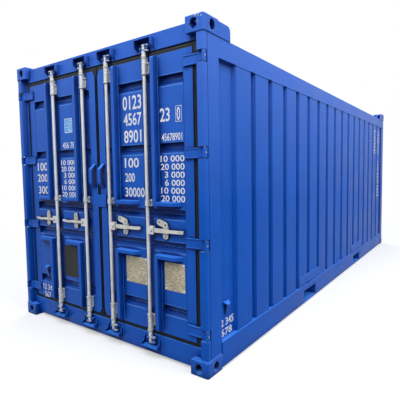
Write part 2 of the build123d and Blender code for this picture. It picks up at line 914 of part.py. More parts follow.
def make_rod_guards(name, side):
    front = door_face - bar_deep
    spans = ((upper_bar_low, upper_bar_top), (lower_bar_top, lower_bar_end))
    with BuildPart() as bars:
        for place, out in zip(rod_places, bar_ends):
            near = place + bar_near
            far = near + bar_wide
            for flat_z, round_z in spans:
                upright = soften([
                    (door_face, flat_z), (front, flat_z), (front, round_z), (door_face, round_z),
                ], {2: bar_round})
                with BuildSketch(Plane.XZ.offset(-side * near)):
                    outline(upright)
                extrude(amount=-side * bar_wide)
            level = [(door_face, far), (door_face, out), (front, out - bar_chamfer), (front, far)]
            for low in (upper_bar_low, lower_bar_top - bar_high):
                with BuildSketch(Plane.XY.offset(low)):
                    outline([(x, side * y) for x, y in level])
                extrude(amount=bar_high)
    keep(bars.part, name)


def make_handle_catches(name, hand, side):
    # Base on the door, in front of it a plate with a lug below and a bent arm with an eye above
    base_face = door_face - catch_base
    half = catch_wide / 2
    eye_s = catch_eye_place[hand]
    eye_z = handle_height + catch_eye_height[hand]
    lug_low = handle_height - catch_lug
    with BuildPart() as catches:
        for place in rod_places:
            middle = place + catch_place
            y = side * middle
            block(base_face, door_face, y - half, y + half,
                  handle_height - catch_base_half, handle_height + catch_base_half)
            body = soften([
                (y - half, lug_low), (y + half, lug_low), (y + half, handle_height + catch_bend),
                (y - half, handle_height + catch_bend),
            ], {0: catch_lug_round, 1: catch_lug_round})
            with BuildSketch(Plane.YZ.offset(base_face - catch_plate)):
                with Locations((y, handle_height + catch_bend)):
                    RegularPolygon(catch_bend_radius, catch_sides)
                with Locations((y + side * eye_s, eye_z)):
                    RegularPolygon(catch_eye_radius[hand], catch_sides)
                make_hull()
                outline(body)
                with Locations((y + side * eye_s, eye_z)):
                    RegularPolygon(catch_hole, catch_sides, mode=Mode.SUBTRACT)
                with Locations((y, lug_low + half / 2)):
                    RegularPolygon(catch_bolt, catch_sides, mode=Mode.SUBTRACT)
            extrude(amount=catch_plate)
    keep(catches.part, name)


def make_grab_handle(name, side):
    y = side * grab_place
    mid = (grab_low + grab_high) / 2
    outer_half = (grab_high - grab_low) / 2
    front_half = outer_half - grab_leg
    front = door_face - grab_leg
    foot = 1.5 * grab_thick
    with BuildPart() as grab:
        with BuildSketch(Plane.XZ.offset(-y - grab_wide / 2)):
            outline([
                (door_face, mid + outer_half), (front, mid + front_half), (front, mid - front_half),
                (door_face, mid - outer_half), (door_face, mid - outer_half + foot),
                (front + grab_thick, mid - front_half + grab_thick / 2),
                (front + grab_thick, mid + front_half - grab_thick / 2),
                (door_face, mid + outer_half - foot),
            ])
        extrude(amount=grab_wide)
    keep(grab.part, name)


def make_plates():
    low, high = centre_plate
    with BuildPart() as plate:
        block(door_face - centre_plate_thick, door_face, centre_plate_over, -centre_plate_reach, low, high)
    keep(plate.part, "centre_plate")
    with BuildPart() as data_plates:
        for place, (near, far) in zip(rod_places, (inner_data_plate, outer_data_plate)):
            block(door_face - plate_thick, door_face, -place - near, -place - far,
                  data_plate_low, data_plate_high)
    keep(data_plates.part, "data_plates")
    near, far = document_sides
    with BuildPart() as document_plate:
        block(door_face - plate_thick, door_face, rod_places[0] + near, rod_places[0] + far,
              document_low, document_high)
    keep(document_plate.part, "document_plate")


def prong_levels():
    # Undersides of the cam plates, two at each end of a rod
    levels = []
    for middle in cam_heights:
        levels += [middle - prong_gap / 2 - prong_thick, middle + prong_gap / 2]
    return levels


def make_lock_rod(name, side, place):
    y = side * place
    low = cam_heights[0] + prong_gap / 2 + prong_thick
    high = cam_heights[1] - prong_gap / 2 - prong_thick
    half_slot = handle_thick / 2 + handle_play
    with BuildPart() as rod:
        with Locations((rod_x, y, (low + high) / 2)):
            Cylinder(rod_radius, high - low)
        for middle in cam_heights:
            with BuildSketch(Plane.XY.offset(middle - prong_gap / 2)):
                with Locations((rod_x, y)):
                    RegularPolygon(rod_radius, stub_sides)
            extrude(amount=prong_gap)
        block(rod_x - hub_deep / 2, rod_x + hub_deep / 2, y, y + side * hub_reach,
              handle_height - hub_high / 2, handle_height + hub_high / 2)
        block(rod_x - half_slot, rod_x + half_slot, y + side * (rod_radius + 1), y + side * hub_reach,
              handle_height - hub_high / 2, handle_height + hub_high / 2, mode=Mode.SUBTRACT)
    keep(rod.part, name)


def make_cams(name, side, place):
    y = side * place
    nose = prong_reach - prong_tip
    heel = rod_radius - heel_reach
    with BuildPart() as cams:
        for z in prong_levels():
            with BuildSketch(Plane.XY.offset(z)):
                for radius, shift in ((prong_tip, nose), (rod_radius, 0.0), (rod_radius, heel)):
                    with Locations((rod_x, y + side * shift)):
                        RegularPolygon(radius, stub_sides)
                make_hull()
            extrude(amount=prong_thick)
    keep(cams.part, name)


def make_handle(name, hand, side, place):
    half = handle_wide[hand] / 2
    tip = handle_tip_wide[hand] / 2
    dip = handle_dip[hand]
    upper = [
        (rod_radius + 3, half), (handle_step_start * handle_length, half),
        (handle_step_end * handle_length, tip),
        (handle_dip_place * handle_length, tip - dip), (handle_length, tip + handle_rise),
    ]
    lower = [
        (handle_length, -tip + handle_rise), (handle_dip_place * handle_length, -tip - dip),
        (handle_step_end * handle_length, -tip), (handle_step_start * handle_length, -half),
        (rod_radius + 3, -half),
    ]
    last = len(upper) - 1
    points = soften(upper + lower, {last: handle_tip_round, last + 1: handle_tip_round})
    with BuildPart() as handle:
        with BuildSketch(Plane.YZ.offset(rod_x - handle_thick / 2)):
            outline([(side * (place + s), handle_height + z) for s, z in points])
        extrude(amount=handle_thick)
    keep(handle.part, name)


make_castings("corner_castings_top", 1)
make_castings("corner_castings_bottom", -1)
make_door_posts()
make_rear_posts()
make_header()
make_sill()
make_rear_beams()
make_top_side_rails()
make_bottom_side_rails()
make_fork_tubes()
make_pocket_doublers()
make_side_walls()
make_rear_wall()
make_roof()
make_floor()
make_cross_members()
make_lifting_eyes()
make_eye_guards()
make_hinge_pins()
make_cam_guards()
make_keepers()
make_tie_eyes()
for hand, side in door_sides.items():
    make_door_frame(f"{hand}_door_frame", side)
    make_door_panel(f"{hand}_door_panel", side)
    make_door_seal(f"{hand}_door_seal", side)
    make_hinge_blades(f"{hand}_hinge_blades", side)
    make_rod_bearings(f"{hand}_rod_bearings", side)
    make_rod_guards(f"{hand}_rod_guards", side)
    make_handle_catches(f"{hand}_handle_catches", hand, side)
    make_grab_handle(f"{hand}_grab_handle", side)
    for place, which in zip(rod_places, ("inner", "outer")):
        make_lock_rod(f"{hand}_{which}_rod", side, place)
        make_cams(f"{hand}_{which}_cams", side, place)
        make_handle(f"{hand}_{which}_handle", hand, side, place)
make_plates()
print("parts written")
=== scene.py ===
import json
import math
import bmesh
import bpy
from mathutils import Matrix, Vector


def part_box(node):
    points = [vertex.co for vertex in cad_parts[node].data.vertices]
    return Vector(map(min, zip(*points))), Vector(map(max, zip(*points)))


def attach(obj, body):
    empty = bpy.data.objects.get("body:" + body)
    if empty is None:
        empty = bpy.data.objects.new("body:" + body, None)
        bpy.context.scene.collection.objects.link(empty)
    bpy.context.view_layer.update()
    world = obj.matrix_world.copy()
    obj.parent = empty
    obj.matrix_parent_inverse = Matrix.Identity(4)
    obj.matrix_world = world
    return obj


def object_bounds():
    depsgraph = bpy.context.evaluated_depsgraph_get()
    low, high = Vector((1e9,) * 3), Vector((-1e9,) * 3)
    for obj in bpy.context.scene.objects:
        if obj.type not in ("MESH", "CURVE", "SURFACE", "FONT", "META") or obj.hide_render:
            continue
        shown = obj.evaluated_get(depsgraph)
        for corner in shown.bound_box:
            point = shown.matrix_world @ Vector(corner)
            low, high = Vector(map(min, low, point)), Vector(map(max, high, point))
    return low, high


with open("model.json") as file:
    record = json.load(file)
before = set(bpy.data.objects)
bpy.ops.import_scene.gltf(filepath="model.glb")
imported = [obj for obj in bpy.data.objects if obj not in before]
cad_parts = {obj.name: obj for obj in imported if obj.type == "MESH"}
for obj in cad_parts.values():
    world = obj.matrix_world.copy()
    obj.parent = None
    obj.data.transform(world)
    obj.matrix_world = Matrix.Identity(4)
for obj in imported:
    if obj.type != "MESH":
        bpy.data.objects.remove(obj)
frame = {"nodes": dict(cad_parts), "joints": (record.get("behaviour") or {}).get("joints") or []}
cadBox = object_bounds()
nodes = frame["nodes"]
print("frame loaded:", len(nodes), "nodes")

doorSides = {"right": -1, "left": 1}  # the right door is on the -Y side
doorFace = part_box("right_door_frame")[0].x
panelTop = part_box("right_door_panel")[1].z
endX = abs(cadBox[0][0])
sideY = abs(cadBox[0][1])
axisOf = {joint["child"]: Vector(joint["pos_m"]) for joint in frame["joints"]}
rodPlaces = {which: abs(axisOf[f"left_{which}_lock"].y) for which in ("inner", "outer")}
rodX = axisOf["left_inner_lock"].x
handleHeight = axisOf["left_inner_lock"].z


# Small helpers for objects and node trees

nodeSpacing = (200, 180)


def addObject(name, data):
    thing = bpy.data.objects.new(name, data)
    bpy.context.scene.collection.objects.link(thing)
    return thing


def wire(tree, source, target):
    tree.links.new(source, target)


def giveTo(tree, socket, value):
    # The output of another node is wired in, anything else is set on the socket itself
    if isinstance(value, bpy.types.NodeSocket):
        wire(tree, value, socket)
    elif socket.type == "RGBA":
        socket.default_value = (*value, 1.0)
    else:
        socket.default_value = value


def addNode(tree, kind, spot, inputs=None, **settings):
    node = tree.nodes.new(kind)
    node.location = (spot[0] * nodeSpacing[0], spot[1] * nodeSpacing[1])
    for key, value in settings.items():
        setattr(node, key, value)
    for key, value in (inputs or {}).items():
        giveTo(tree, node.inputs[key], value)
    return node


def sums(tree, spot, operation, first, second=0.0):
    return addNode(tree, "ShaderNodeMath", spot, {0: first, 1: second}, operation=operation).outputs[0]


def times(tree, spot, first, second):
    return sums(tree, spot, "MULTIPLY", first, second)


def ramp(tree, spot, source, low, high, least=0.0, most=1.0, **settings):
    inputs = {"Value": source, "From Min": low, "From Max": high, "To Min": least, "To Max": most}
    return addNode(tree, "ShaderNodeMapRange", spot, inputs, **settings).outputs["Result"]


def blendColour(tree, spot, factor, first, second):
    inputs = {"Factor": factor, 6: first, 7: second}
    return addNode(tree, "ShaderNodeMix", spot, inputs, data_type="RGBA").outputs[2]


def axes(tree, spot, vector):
    return addNode(tree, "ShaderNodeSeparateXYZ", spot, {"Vector": vector}).outputs


def stretched(tree, spot, vector, scale):
    return addNode(tree, "ShaderNodeMapping", spot, {"Vector": vector, "Scale": scale}).outputs["Vector"]


def noiseAt(tree, spot, **inputs):
    return addNode(tree, "ShaderNodeTexNoise", spot, inputs).outputs["Fac"]


def patchy(tree, spot, vector, scale, low, high):
    noise = noiseAt(tree, spot, Vector=vector, Scale=scale, Detail=4.0)
    return ramp(tree, (spot[0] + 2, spot[1]), noise, low, high)


def roundedNormal(tree, spot, radius, samples):
    return addNode(tree, "ShaderNodeBevel", spot, {"Radius": radius}, samples=samples).outputs["Normal"]


socketKinds = {int: "NodeSocketInt", float: "NodeSocketFloat"}


def startGroup(name, treeKind, flow, values, outputs):
    # flow and outputs give the kinds of their sockets, values the first numbers of the others
    tree = bpy.data.node_groups.new(name, treeKind)
    for label, kind in flow.items():
        tree.interface.new_socket(label, in_out="INPUT", socket_type=kind)
    for label, value in values.items():
        kind = socketKinds[type(value)]
        tree.interface.new_socket(label, in_out="INPUT", socket_type=kind).default_value = value
    for label, kind in outputs.items():
        tree.interface.new_socket(label, in_out="OUTPUT", socket_type=kind)
    start = addNode(tree, "NodeGroupInput", (-6, 0))
    end = addNode(tree, "NodeGroupOutput", (8, 0))
    return tree, start, end


# Shader groups that several finishes share

def startShade(name, values, *outputs):
    flow = {"Vector": "NodeSocketVector"}
    return startGroup(name, "ShaderNodeTree", flow, values, dict.fromkeys(outputs, "NodeSocketFloat"))


def makeMottleGroup():
    tree, start, end = startShade("paintMottle", {"Scale": 3.0, "Low": 0.35, "High": 0.65}, "Mask")
    given = start.outputs
    noise = noiseAt(tree, (-3, 0), Vector=given["Vector"], Scale=given["Scale"], Detail=5.0, Roughness=0.6)
    mask = ramp(tree, (0, 0), noise, given["Low"], given["High"], interpolation_type="SMOOTHSTEP")
    wire(tree, mask, end.inputs["Mask"])
    return tree


def makeEdgeGroup():
    # An edge shows where the rounded normal leaves the flat one, broken up by noise
    tree, start, end = startShade("edgeWear", {"Radius": 0.006, "Scale": 40.0, "Cover": 0.5}, "Mask")
    given = start.outputs
    flat = addNode(tree, "ShaderNodeNewGeometry", (-5, 0)).outputs["Normal"]
    normals = {0: roundedNormal(tree, (-5, 2), given["Radius"], 4), 1: flat}
    match = addNode(tree, "ShaderNodeVectorMath", (-3, 1), normals, operation="DOT_PRODUCT")
    edge = ramp(tree, (-1, 1), match.outputs["Value"], 0.995, 0.9)
    noise = noiseAt(tree, (-3, -1), Vector=given["Vector"], Scale=given["Scale"], Detail=6.0, Roughness=0.7)
    patch = sums(tree, (0, -1), "ADD", noise, given["Cover"])
    wire(tree, ramp(tree, (4, 0), times(tree, (2, 0), edge, patch), 0.62, 0.72), end.inputs["Mask"])
    return tree


def makeCavityGroup():
    # Painted shade: corners and recesses are darkened where less light reaches them
    tree, start, end = startShade("cavityShade", {"Reach": 0.09, "Amount": 0.8}, "Mask")
    given = start.outputs
    hollow = addNode(tree, "ShaderNodeAmbientOcclusion", (-5, 1), {"Distance": given["Reach"]}, samples=8)
    closed = ramp(tree, (-3, 1), hollow.outputs["AO"], 0.96, 0.42)
    both = times(tree, (0, 0), closed, patchy(tree, (-5, -1), given["Vector"], 6.0, -0.6, 0.5))
    wire(tree, times(tree, (3, 0), both, given["Amount"]), end.inputs["Mask"])
    return tree


def makeSheetGroup():
    # Slow waves of pressed sheet, and the fine orange peel of sprayed paint
    tree, start, end = startShade("sheetWaves", {"Wave": 1.0, "Peel": 0.05}, "Height")
    given = start.outputs
    heights = []
    for row, label, scale in ((1, "Wave", 2.2), (-1, "Peel", 260.0)):
        noise = noiseAt(tree, (-3, row), Vector=given["Vector"], Scale=scale, Detail=1.0)
        heights.append(times(tree, (0, row), noise, given[label]))
    wire(tree, sums(tree, (3, 0), "ADD", *heights), end.inputs["Height"])
    return tree


def makeSlopeGroup():
    # Painted shade on the slopes that face up, and a painted highlight along the foot of those slopes
    tree, start, end = startShade("grooveSlope", {"Radius": 0.012}, "SlopeShade", "BendHighlight")
    given = start.outputs
    bent = axes(tree, (-3, 2), roundedNormal(tree, (-5, 2), given["Radius"], 8))["Z"]
    facing = addNode(tree, "ShaderNodeNewGeometry", (-5, 0)).outputs["True Normal"]
    plain = axes(tree, (-3, 0), facing)["Z"]
    uneven = patchy(tree, (-5, -2), given["Vector"], 5.0, -0.3, 0.5)
    slope = ramp(tree, (-1, 0), plain, 0.05, 0.45)
    wire(tree, times(tree, (3, 0), slope, uneven), end.inputs["SlopeShade"])
    bend = ramp(tree, (1, 2), sums(tree, (-1, 2), "SUBTRACT", bent, plain), 0.03, 0.30)
    raised = times(tree, (2, 3), bend, ramp(tree, (1, 4), bent, 0.02, 0.12))
    wire(tree, times(tree, (3, 2), raised, uneven), end.inputs["BendHighlight"])
    return tree


def makeRimGroup():
    # Painted highlight: slopes and edges that lean up towards the light are paler
    tree, start, end = startShade("rimLight", {"Radius": 0.008, "Gain": 2.0}, "Mask")
    given = start.outputs
    leaning = axes(tree, (-1, 1), roundedNormal(tree, (-5, 2), given["Radius"], 6))["Z"]
    raised = times(tree, (1, 1), leaning, given["Gain"])
    both = times(tree, (3, 0), raised, patchy(tree, (-3, -1), given["Vector"], 9.0, 0.0, 0.75))
    wire(tree, ramp(tree, (5, 0), both, 0.0, 1.0), end.inputs["Mask"])
    return tree


mottleGroup = makeMottleGroup()
edgeGroup = makeEdgeGroup()
cavityGroup = makeCavityGroup()
sheetGroup = makeSheetGroup()
rimGroup = makeRimGroup()
slopeGroup = makeSlopeGroup()


def useGroup(tree, group, spot, vector, **values):
    return addNode(tree, "ShaderNodeGroup", spot, {"Vector": vector, **values}, node_tree=group).outputs


def mottleAt(tree, spot, place, scale, low, high):
    return useGroup(tree, mottleGroup, spot, place, Scale=scale, Low=low, High=high)["Mask"]


def startMaterial(name, values):
    material = bpy.data.materials.new(name)
    material.use_nodes = True
    tree = material.node_tree
    shader = tree.nodes["Principled BSDF"]
    for key, value in values.items():
        shader.inputs[key].default_value = value
    place = addNode(tree, "ShaderNodeTexCoord", (-9, 0)).outputs["Object"]
    return material, tree, shader, place


def bumpInto(tree, shader, height, distance, strength, soften=0.0):
    inputs = {"Height": height, "Distance": distance, "Strength": strength}
    if soften > 0:
        inputs["Normal"] = roundedNormal(tree, (-4, -4), soften, 4)
    bump = addNode(tree, "ShaderNodeBump", (-2, -3), inputs)
    wire(tree, bump.outputs["Normal"], shader.inputs["Normal"])


def roughInto(tree, shader, mask, low, high):
    wire(tree, ramp(tree, (-5, 0), mask, 0.0, 1.0, low, high), shader.inputs["Roughness"])


paintLook = {
    "deep": (0.006, 0.086, 0.450),
    "bright": (0.010, 0.104, 0.520),
    # The next three colours are painted light: shade in recesses, a highlight on edges and welds, a sheen
    # on the upper part
    "paintedShade": (0.001, 0.012, 0.110),
    "edge": (0.050, 0.230, 0.800),
    "topSheen": (0.085, 0.190, 0.640),
    "primer": (0.30, 0.31, 0.33),
    "roughness": (0.30, 0.44),
    "sheenHeights": (1.2, 2.6),
    "rimGain": 1.5,
    "chipScale": 38.0,
    "peel": 0.004,
    "bump": (0.012, 0.5),
}
grooveLook = {
    # colour of the painted highlight along the foot of a groove's lower slope
    "bend": (0.170, 0.420, 0.930),
    "bendRadius": 0.0115,
    "hollowLimits": (0.60, 0.20),  # a bend deep in a hollow stays dark
    "belowTop": (0.02, 0.04),  # so does the top edge of the panel
}
scuffLook = {
    "colour": (0.62, 0.60, 0.42),
    "reach": 0.046,
    "core": 0.0184,
    "scale": 58.0,
    "limits": (0.56, 0.60),
    "inward": 0.042,  # place on the front of a top casting, from its outer corner
    "down": 0.022,
}
paintKinds = {
    "doorSheet": {"soften": 0.002, "rim": 0.35, "rimRadius": 0.0005, "paintedShade": 1.2, "reach": 0.13},
    "doorPanel": {"soften": 0.002, "rim": 0.0, "paintedShade": 1.5, "reach": 0.13, "slope": 0.36, "bend": 1.0},
    "wallSheet": {"gloss": 0.04, "fade": 0.6, "paintedShade": 0.6, "rim": 0.3, "soften": 0.006},
    "frame": {"wave": 0.35, "chip": 0.02, "chipRadius": 0.003},
    "sideFrame": {"wave": 0.35, "gloss": 0.06, "fade": 0.7, "paintedShade": 0.6},
    "weld": {"wave": 0.1, "fade": 0.2, "paintedShade": 0.3, "lift": 0.7},
    "casting": {"wave": 0.15, "chip": 0.10, "chipRadius": 0.008, "soften": 0.006,
                "scuffAt": (-endX, -sideY + scuffLook["inward"], cadBox[1][2] - scuffLook["down"])},
    "fitting": {"wave": 0.1, "chip": 0.03, "chipRadius": 0.003, "soften": 0.003},
}


def addTopSheen(tree, place, colour, amount):
    # Painted sheen: the upper part of the box is paler, as light and sky fall on it from above
    high = ramp(tree, (-7, 5), axes(tree, (-8, 5), place)["Z"], *paintLook["sheenHeights"])
    return blendColour(tree, (-4, 5), times(tree, (-6, 5), high, amount), colour, paintLook["topSheen"])


def addGrooveShade(tree, place, hollow, colour, slope, bend):
    # Painted shade on the upward slopes of the grooves, and a painted highlight along their foot
    look = grooveLook
    lie = useGroup(tree, slopeGroup, (-9, 1), place, Radius=look["bendRadius"])
    slopeShadeShare = times(tree, (-7, 2), lie["SlopeShade"], slope)
    colour = blendColour(tree, (-3, 5), slopeShadeShare, colour, paintLook["paintedShade"])
    clear = ramp(tree, (-8, 2), hollow, *look["hollowLimits"])
    limits = [panelTop - drop for drop in look["belowTop"]]
    below = ramp(tree, (-8, 4), axes(tree, (-9, 4), place)["Z"], *limits)
    bright = times(tree, (-7, 4), lie["BendHighlight"], times(tree, (-7, 5), below, clear))
    return blendColour(tree, (-3, 6), times(tree, (-6, 6), bright, bend), colour, look["bend"])


def addScuffs(tree, place, colour, centre):
    # Bare spots where something has struck the paint
    look = scuffLook
    away = addNode(tree, "ShaderNodeVectorMath", (-8, 8), {0: place, 1: centre}, operation="DISTANCE")
    near = ramp(tree, (-7, 8), away.outputs["Value"], look["reach"], look["core"])
    noise = noiseAt(tree, (-8, 9), Vector=place, Scale=look["scale"], Detail=2.0)
    bare = ramp(tree, (-7, 9), noise, *look["limits"])
    return blendColour(tree, (-3, 7), times(tree, (-6, 8), near, bare), colour, look["colour"])


def makePaint(name, wave=1.0, gloss=0.12, soften=0.004, chip=0.0, chipRadius=0.004, fade=0.35,
              paintedShade=0.9, reach=0.09, rim=0.8, rimRadius=0.007, lift=0.0, slope=0.0, bend=0.0,
              scuffAt=None):
    look = paintLook
    material, tree, shader, place = startMaterial(name, {"Specular IOR Level": gloss})
    mottle = mottleAt(tree, (-7, 3), place, 2.6, 0.3, 0.7)
    colour = blendColour(tree, (-5, 3), mottle, look["deep"], look["bright"])
    # Painted highlight: welds get a mottled paler blue, as light catches the bead
    if lift > 0:
        colour = blendColour(tree, (-5, 4), times(tree, (-6, 4), mottle, lift), colour, look["edge"])
    # Painted sheen on the upper part
    if fade > 0:
        colour = addTopSheen(tree, place, colour, fade)
    # Painted shade darkens corners and recesses
    hollow = useGroup(tree, cavityGroup, (-7, 0), place, Reach=reach, Amount=paintedShade)["Mask"]
    colour = blendColour(tree, (-3, 3), hollow, colour, look["paintedShade"])
    # Painted highlight on slopes and edges that lean up
    if rim > 0:
        edges = useGroup(tree, rimGroup, (-7, 1), place, Radius=rimRadius, Gain=look["rimGain"])
        colour = blendColour(tree, (-3, 2), times(tree, (-5, 1), edges["Mask"], rim), colour, look["edge"])
    # Painted shade on groove slopes, with a painted highlight along their foot
    if slope > 0:
        colour = addGrooveShade(tree, place, hollow, colour, slope, bend)
    if scuffAt:
        colour = addScuffs(tree, place, colour, scuffAt)
    if chip > 0:
        chips = useGroup(tree, edgeGroup, (-7, -2), place, Radius=chipRadius,
                         Scale=look["chipScale"], Cover=chip)
        colour = blendColour(tree, (-3, 1), chips["Mask"], colour, look["primer"])
    wire(tree, colour, shader.inputs["Base Color"])
    roughInto(tree, shader, mottle, *look["roughness"])
    height = useGroup(tree, sheetGroup, (-7, -3), place, Wave=wave, Peel=look["peel"])["Height"]
    bumpInto(tree, shader, height, *look["bump"], soften)
    return material


steelKinds = {
    "rod": {"name": "rodPaint", "colour": (0.710, 0.725, 0.710), "stain": (0.620, 0.640, 0.640),
            "dark": (0.20, 0.18, 0.14), "metallic": 0.0, "rough": 0.35, "grime": 0.70},
    "zinc": {"name": "zincCoat", "colour": (0.700, 0.710, 0.690), "stain": (0.440, 0.460, 0.470),
             "dark": (0.12, 0.12, 0.12), "metallic": 0.2, "rough": 0.38, "grime": 0.62, "scale": 60.0},
    "gear": {"name": "gearPaint", "colour": (0.640, 0.635, 0.570), "stain": (0.500, 0.500, 0.460),
             "dark": (0.10, 0.09, 0.08), "metallic": 0.1, "rough": 0.38, "grime": 0.64},
    "cam": {"name": "camPaint", "colour": (0.640, 0.640, 0.610), "stain": (0.012, 0.100, 0.460),
            "dark": (0.01, 0.02, 0.06), "metallic": 0.0, "rough": 0.38, "grime": 0.58, "scale": 34.0},
}


def makeSteel(name, colour, stain, dark, metallic, rough, grime, scale=14.0):
    # Galvanised or painted gear: broad stains, small dark specks, a soft grain, and painted shade in
    # recesses
    material, tree, shader, place = startMaterial(name, {"Metallic": metallic})
    mottle = mottleAt(tree, (-7, 3), place, scale, 0.42, 0.62)
    mixed = blendColour(tree, (-5, 3), mottle, colour, stain)
    specks = mottleAt(tree, (-7, 1), place, 55.0, grime, grime + 0.18)
    mixed = blendColour(tree, (-4, 2), specks, mixed, dark)
    # Painted shade: recesses darken towards the dark colour, which also colours the specks
    hollow = useGroup(tree, cavityGroup, (-7, 0), place, Reach=0.03, Amount=0.7)["Mask"]
    wire(tree, blendColour(tree, (-3, 2), hollow, mixed, dark), shader.inputs["Base Color"])
    roughInto(tree, shader, mottle, rough, rough + 0.2)
    grain = useGroup(tree, sheetGroup, (-7, -3), place, Wave=0.2, Peel=0.06)["Height"]
    bumpInto(tree, shader, grain, distance=0.004, strength=0.4, soften=0.002)
    return material


sealLook = {
    "dark": (0.008, 0.010, 0.013),
    "worn": (0.024, 0.027, 0.030),
    "palerTop": (0.055, 0.062, 0.066),
    "palerTopHeights": (2.30, 2.42),  # the run under the header is paler
    "ridgePitch": 0.009,
    "uprightFrom": (1.085, 1.087),  # beyond this distance from the middle the seal runs upwards
}


def makeSealRubber(name):
    # Two or three ridges run along the seal, across on the long runs, upright at the hinges
    look = sealLook
    material, tree, shader, place = startMaterial(name, {"Specular IOR Level": 0.1})
    along = axes(tree, (-8, 2), place)
    distance = sums(tree, (-7, 4), "ABSOLUTE", along["Y"])
    waves = {"Factor": ramp(tree, (-6, 4), distance, *look["uprightFrom"])}
    for row, axis, socket in ((0, "Y", 3), (1, "Z", 2)):
        fold = sums(tree, (-7, row), "PINGPONG", along[axis], look["ridgePitch"])
        waves[socket] = ramp(tree, (-6, row), fold, 0.0, look["ridgePitch"])
    ridged = addNode(tree, "ShaderNodeMix", (-5, 2), waves, data_type="FLOAT").outputs[0]
    mottle = mottleAt(tree, (-7, -1), place, 9.0, 0.3, 0.8)
    colour = blendColour(tree, (-3, 2), times(tree, (-4, 1), ridged, mottle), look["dark"], look["worn"])
    top = ramp(tree, (-6, -3), along["Z"], *look["palerTopHeights"])
    colour = blendColour(tree, (-2, 2), times(tree, (-4, -3), top, ridged), colour, look["palerTop"])
    wire(tree, colour, shader.inputs["Base Color"])
    roughInto(tree, shader, mottle, 0.45, 0.7)
    bumpInto(tree, shader, ridged, distance=0.003, strength=0.7)
    return material


plateLook = {
    "face": (0.560, 0.490, 0.340),
    "shade": (0.430, 0.375, 0.260),
    "print": (0.160, 0.130, 0.090),
    "printShare": 0.85,
    "rowPitch": 0.0155,
    "rowHalf": 0.0045,
    "dashScale": (1.0, 22.0, 60.0),
}


def makePlateMetal(name):
    # Bare sheet with rows of small dark dashes, as on a plate that was filled in by hand
    look = plateLook
    material, tree, shader, place = startMaterial(name, {"Metallic": 0.15})
    mottle = mottleAt(tree, (-7, 4), place, 9.0, 0.3, 0.75)
    colour = blendColour(tree, (-5, 4), mottle, look["face"], look["shade"])
    fold = sums(tree, (-7, 2), "PINGPONG", axes(tree, (-8, 2), place)["Z"], look["rowPitch"] / 2)
    rows = ramp(tree, (-6, 2), fold, look["rowHalf"], look["rowHalf"] / 2)
    dashes = mottleAt(tree, (-7, 0), stretched(tree, (-8, 0), place, look["dashScale"]), 1.4, 0.47, 0.54)
    marks = times(tree, (-5, 1), rows, dashes)
    inked = times(tree, (-4, 1), marks, look["printShare"])
    wire(tree, blendColour(tree, (-3, 3), inked, colour, look["print"]), shader.inputs["Base Color"])
    roughInto(tree, shader, mottle, 0.40, 0.6)
    bumpInto(tree, shader, marks, distance=-0.001, strength=0.5)
    return material


boardLook = {
    "light": (0.25, 0.13, 0.06),
    "dark": (0.14, 0.07, 0.035),
    "joint": (0.01, 0.008, 0.006),
    "grainScale": (2.0, 22.0, 22.0),
    "sheetHalf": 0.6,
    "jointHalf": (0.004, 0.003),  # where the joint starts and where it is fully dark
}


def makeFloorBoard(name):
    # Plywood sheets laid across, with a dark joint every 1.2 m along the box
    look = boardLook
    material, tree, shader, place = startMaterial(name, {})
    grain = mottleAt(tree, (-7, 3), stretched(tree, (-8, 3), place, look["grainScale"]), 1.6, 0.3, 0.7)
    colour = blendColour(tree, (-5, 3), grain, look["light"], look["dark"])
    bay = sums(tree, (-7, 0), "PINGPONG", axes(tree, (-8, 0), place)["X"], look["sheetHalf"])
    seam = ramp(tree, (-6, 0), bay, *look["jointHalf"])
    wire(tree, blendColour(tree, (-4, 2), seam, colour, look["joint"]), shader.inputs["Base Color"])
    roughInto(tree, shader, grain, 0.45, 0.7)
    bumpInto(tree, shader, grain, distance=0.001, strength=0.6)
    return material


plainKinds = {
    "holder": {"name": "documentHolder", "colour": (0.016, 0.017, 0.018), "second": (0.026, 0.026, 0.025),
               "roughness": 0.5, "gloss": 0.2},
    "pin": {"name": "pinSteel", "colour": (0.15, 0.13, 0.10), "second": (0.06, 0.05, 0.04),
            "roughness": 0.5, "metallic": 0.6},
    "brass": {"name": "nippleBrass", "colour": (0.62, 0.48, 0.26), "second": (0.42, 0.31, 0.17),
              "roughness": 0.3, "metallic": 0.8, "scale": 60.0},
    "letter": {"name": "letterPaint", "colour": (0.76, 0.77, 0.78), "second": (0.66, 0.68, 0.72),
               "roughness": 0.5, "scale": 30.0, "gloss": 0.3},
    "sky": {"name": "labelBlue", "colour": (0.04, 0.30, 0.78), "second": (0.09, 0.42, 0.86),
            "roughness": 0.4, "scale": 25.0},
    "screw": {"name": "screwSteel", "colour": (0.30, 0.29, 0.27), "second": (0.16, 0.13, 0.10),
              "roughness": 0.4, "metallic": 0.8, "scale": 40.0},
}


def makePlain(name, colour, second, roughness, metallic=0.0, scale=12.0, gloss=0.5):
    values = {"Metallic": metallic, "Specular IOR Level": gloss}
    material, tree, shader, place = startMaterial(name, values)
    mottle = mottleAt(tree, (-7, 3), place, scale, 0.3, 0.75)
    wire(tree, blendColour(tree, (-5, 3), mottle, colour, second), shader.inputs["Base Color"])
    roughInto(tree, shader, mottle, roughness, roughness + 0.15)
    grain = useGroup(tree, sheetGroup, (-7, -3), place, Wave=0.2, Peel=0.05)["Height"]
    bumpInto(tree, shader, grain, distance=0.002, strength=0.4)
    return material


finishes = {"seal": makeSealRubber("sealRubber"), "plate": makePlateMetal("plateMetal"),
            "board": makeFloorBoard("floorBoard")}
for finish, kind in paintKinds.items():
    finishes[finish] = makePaint(f"blue{finish[0].upper()}{finish[1:]}", **kind)
for finish, kind in steelKinds.items():
    finishes[finish] = makeSteel(**kind)
for finish, kind in plainKinds.items():
    finishes[finish] = makePlain(**kind)

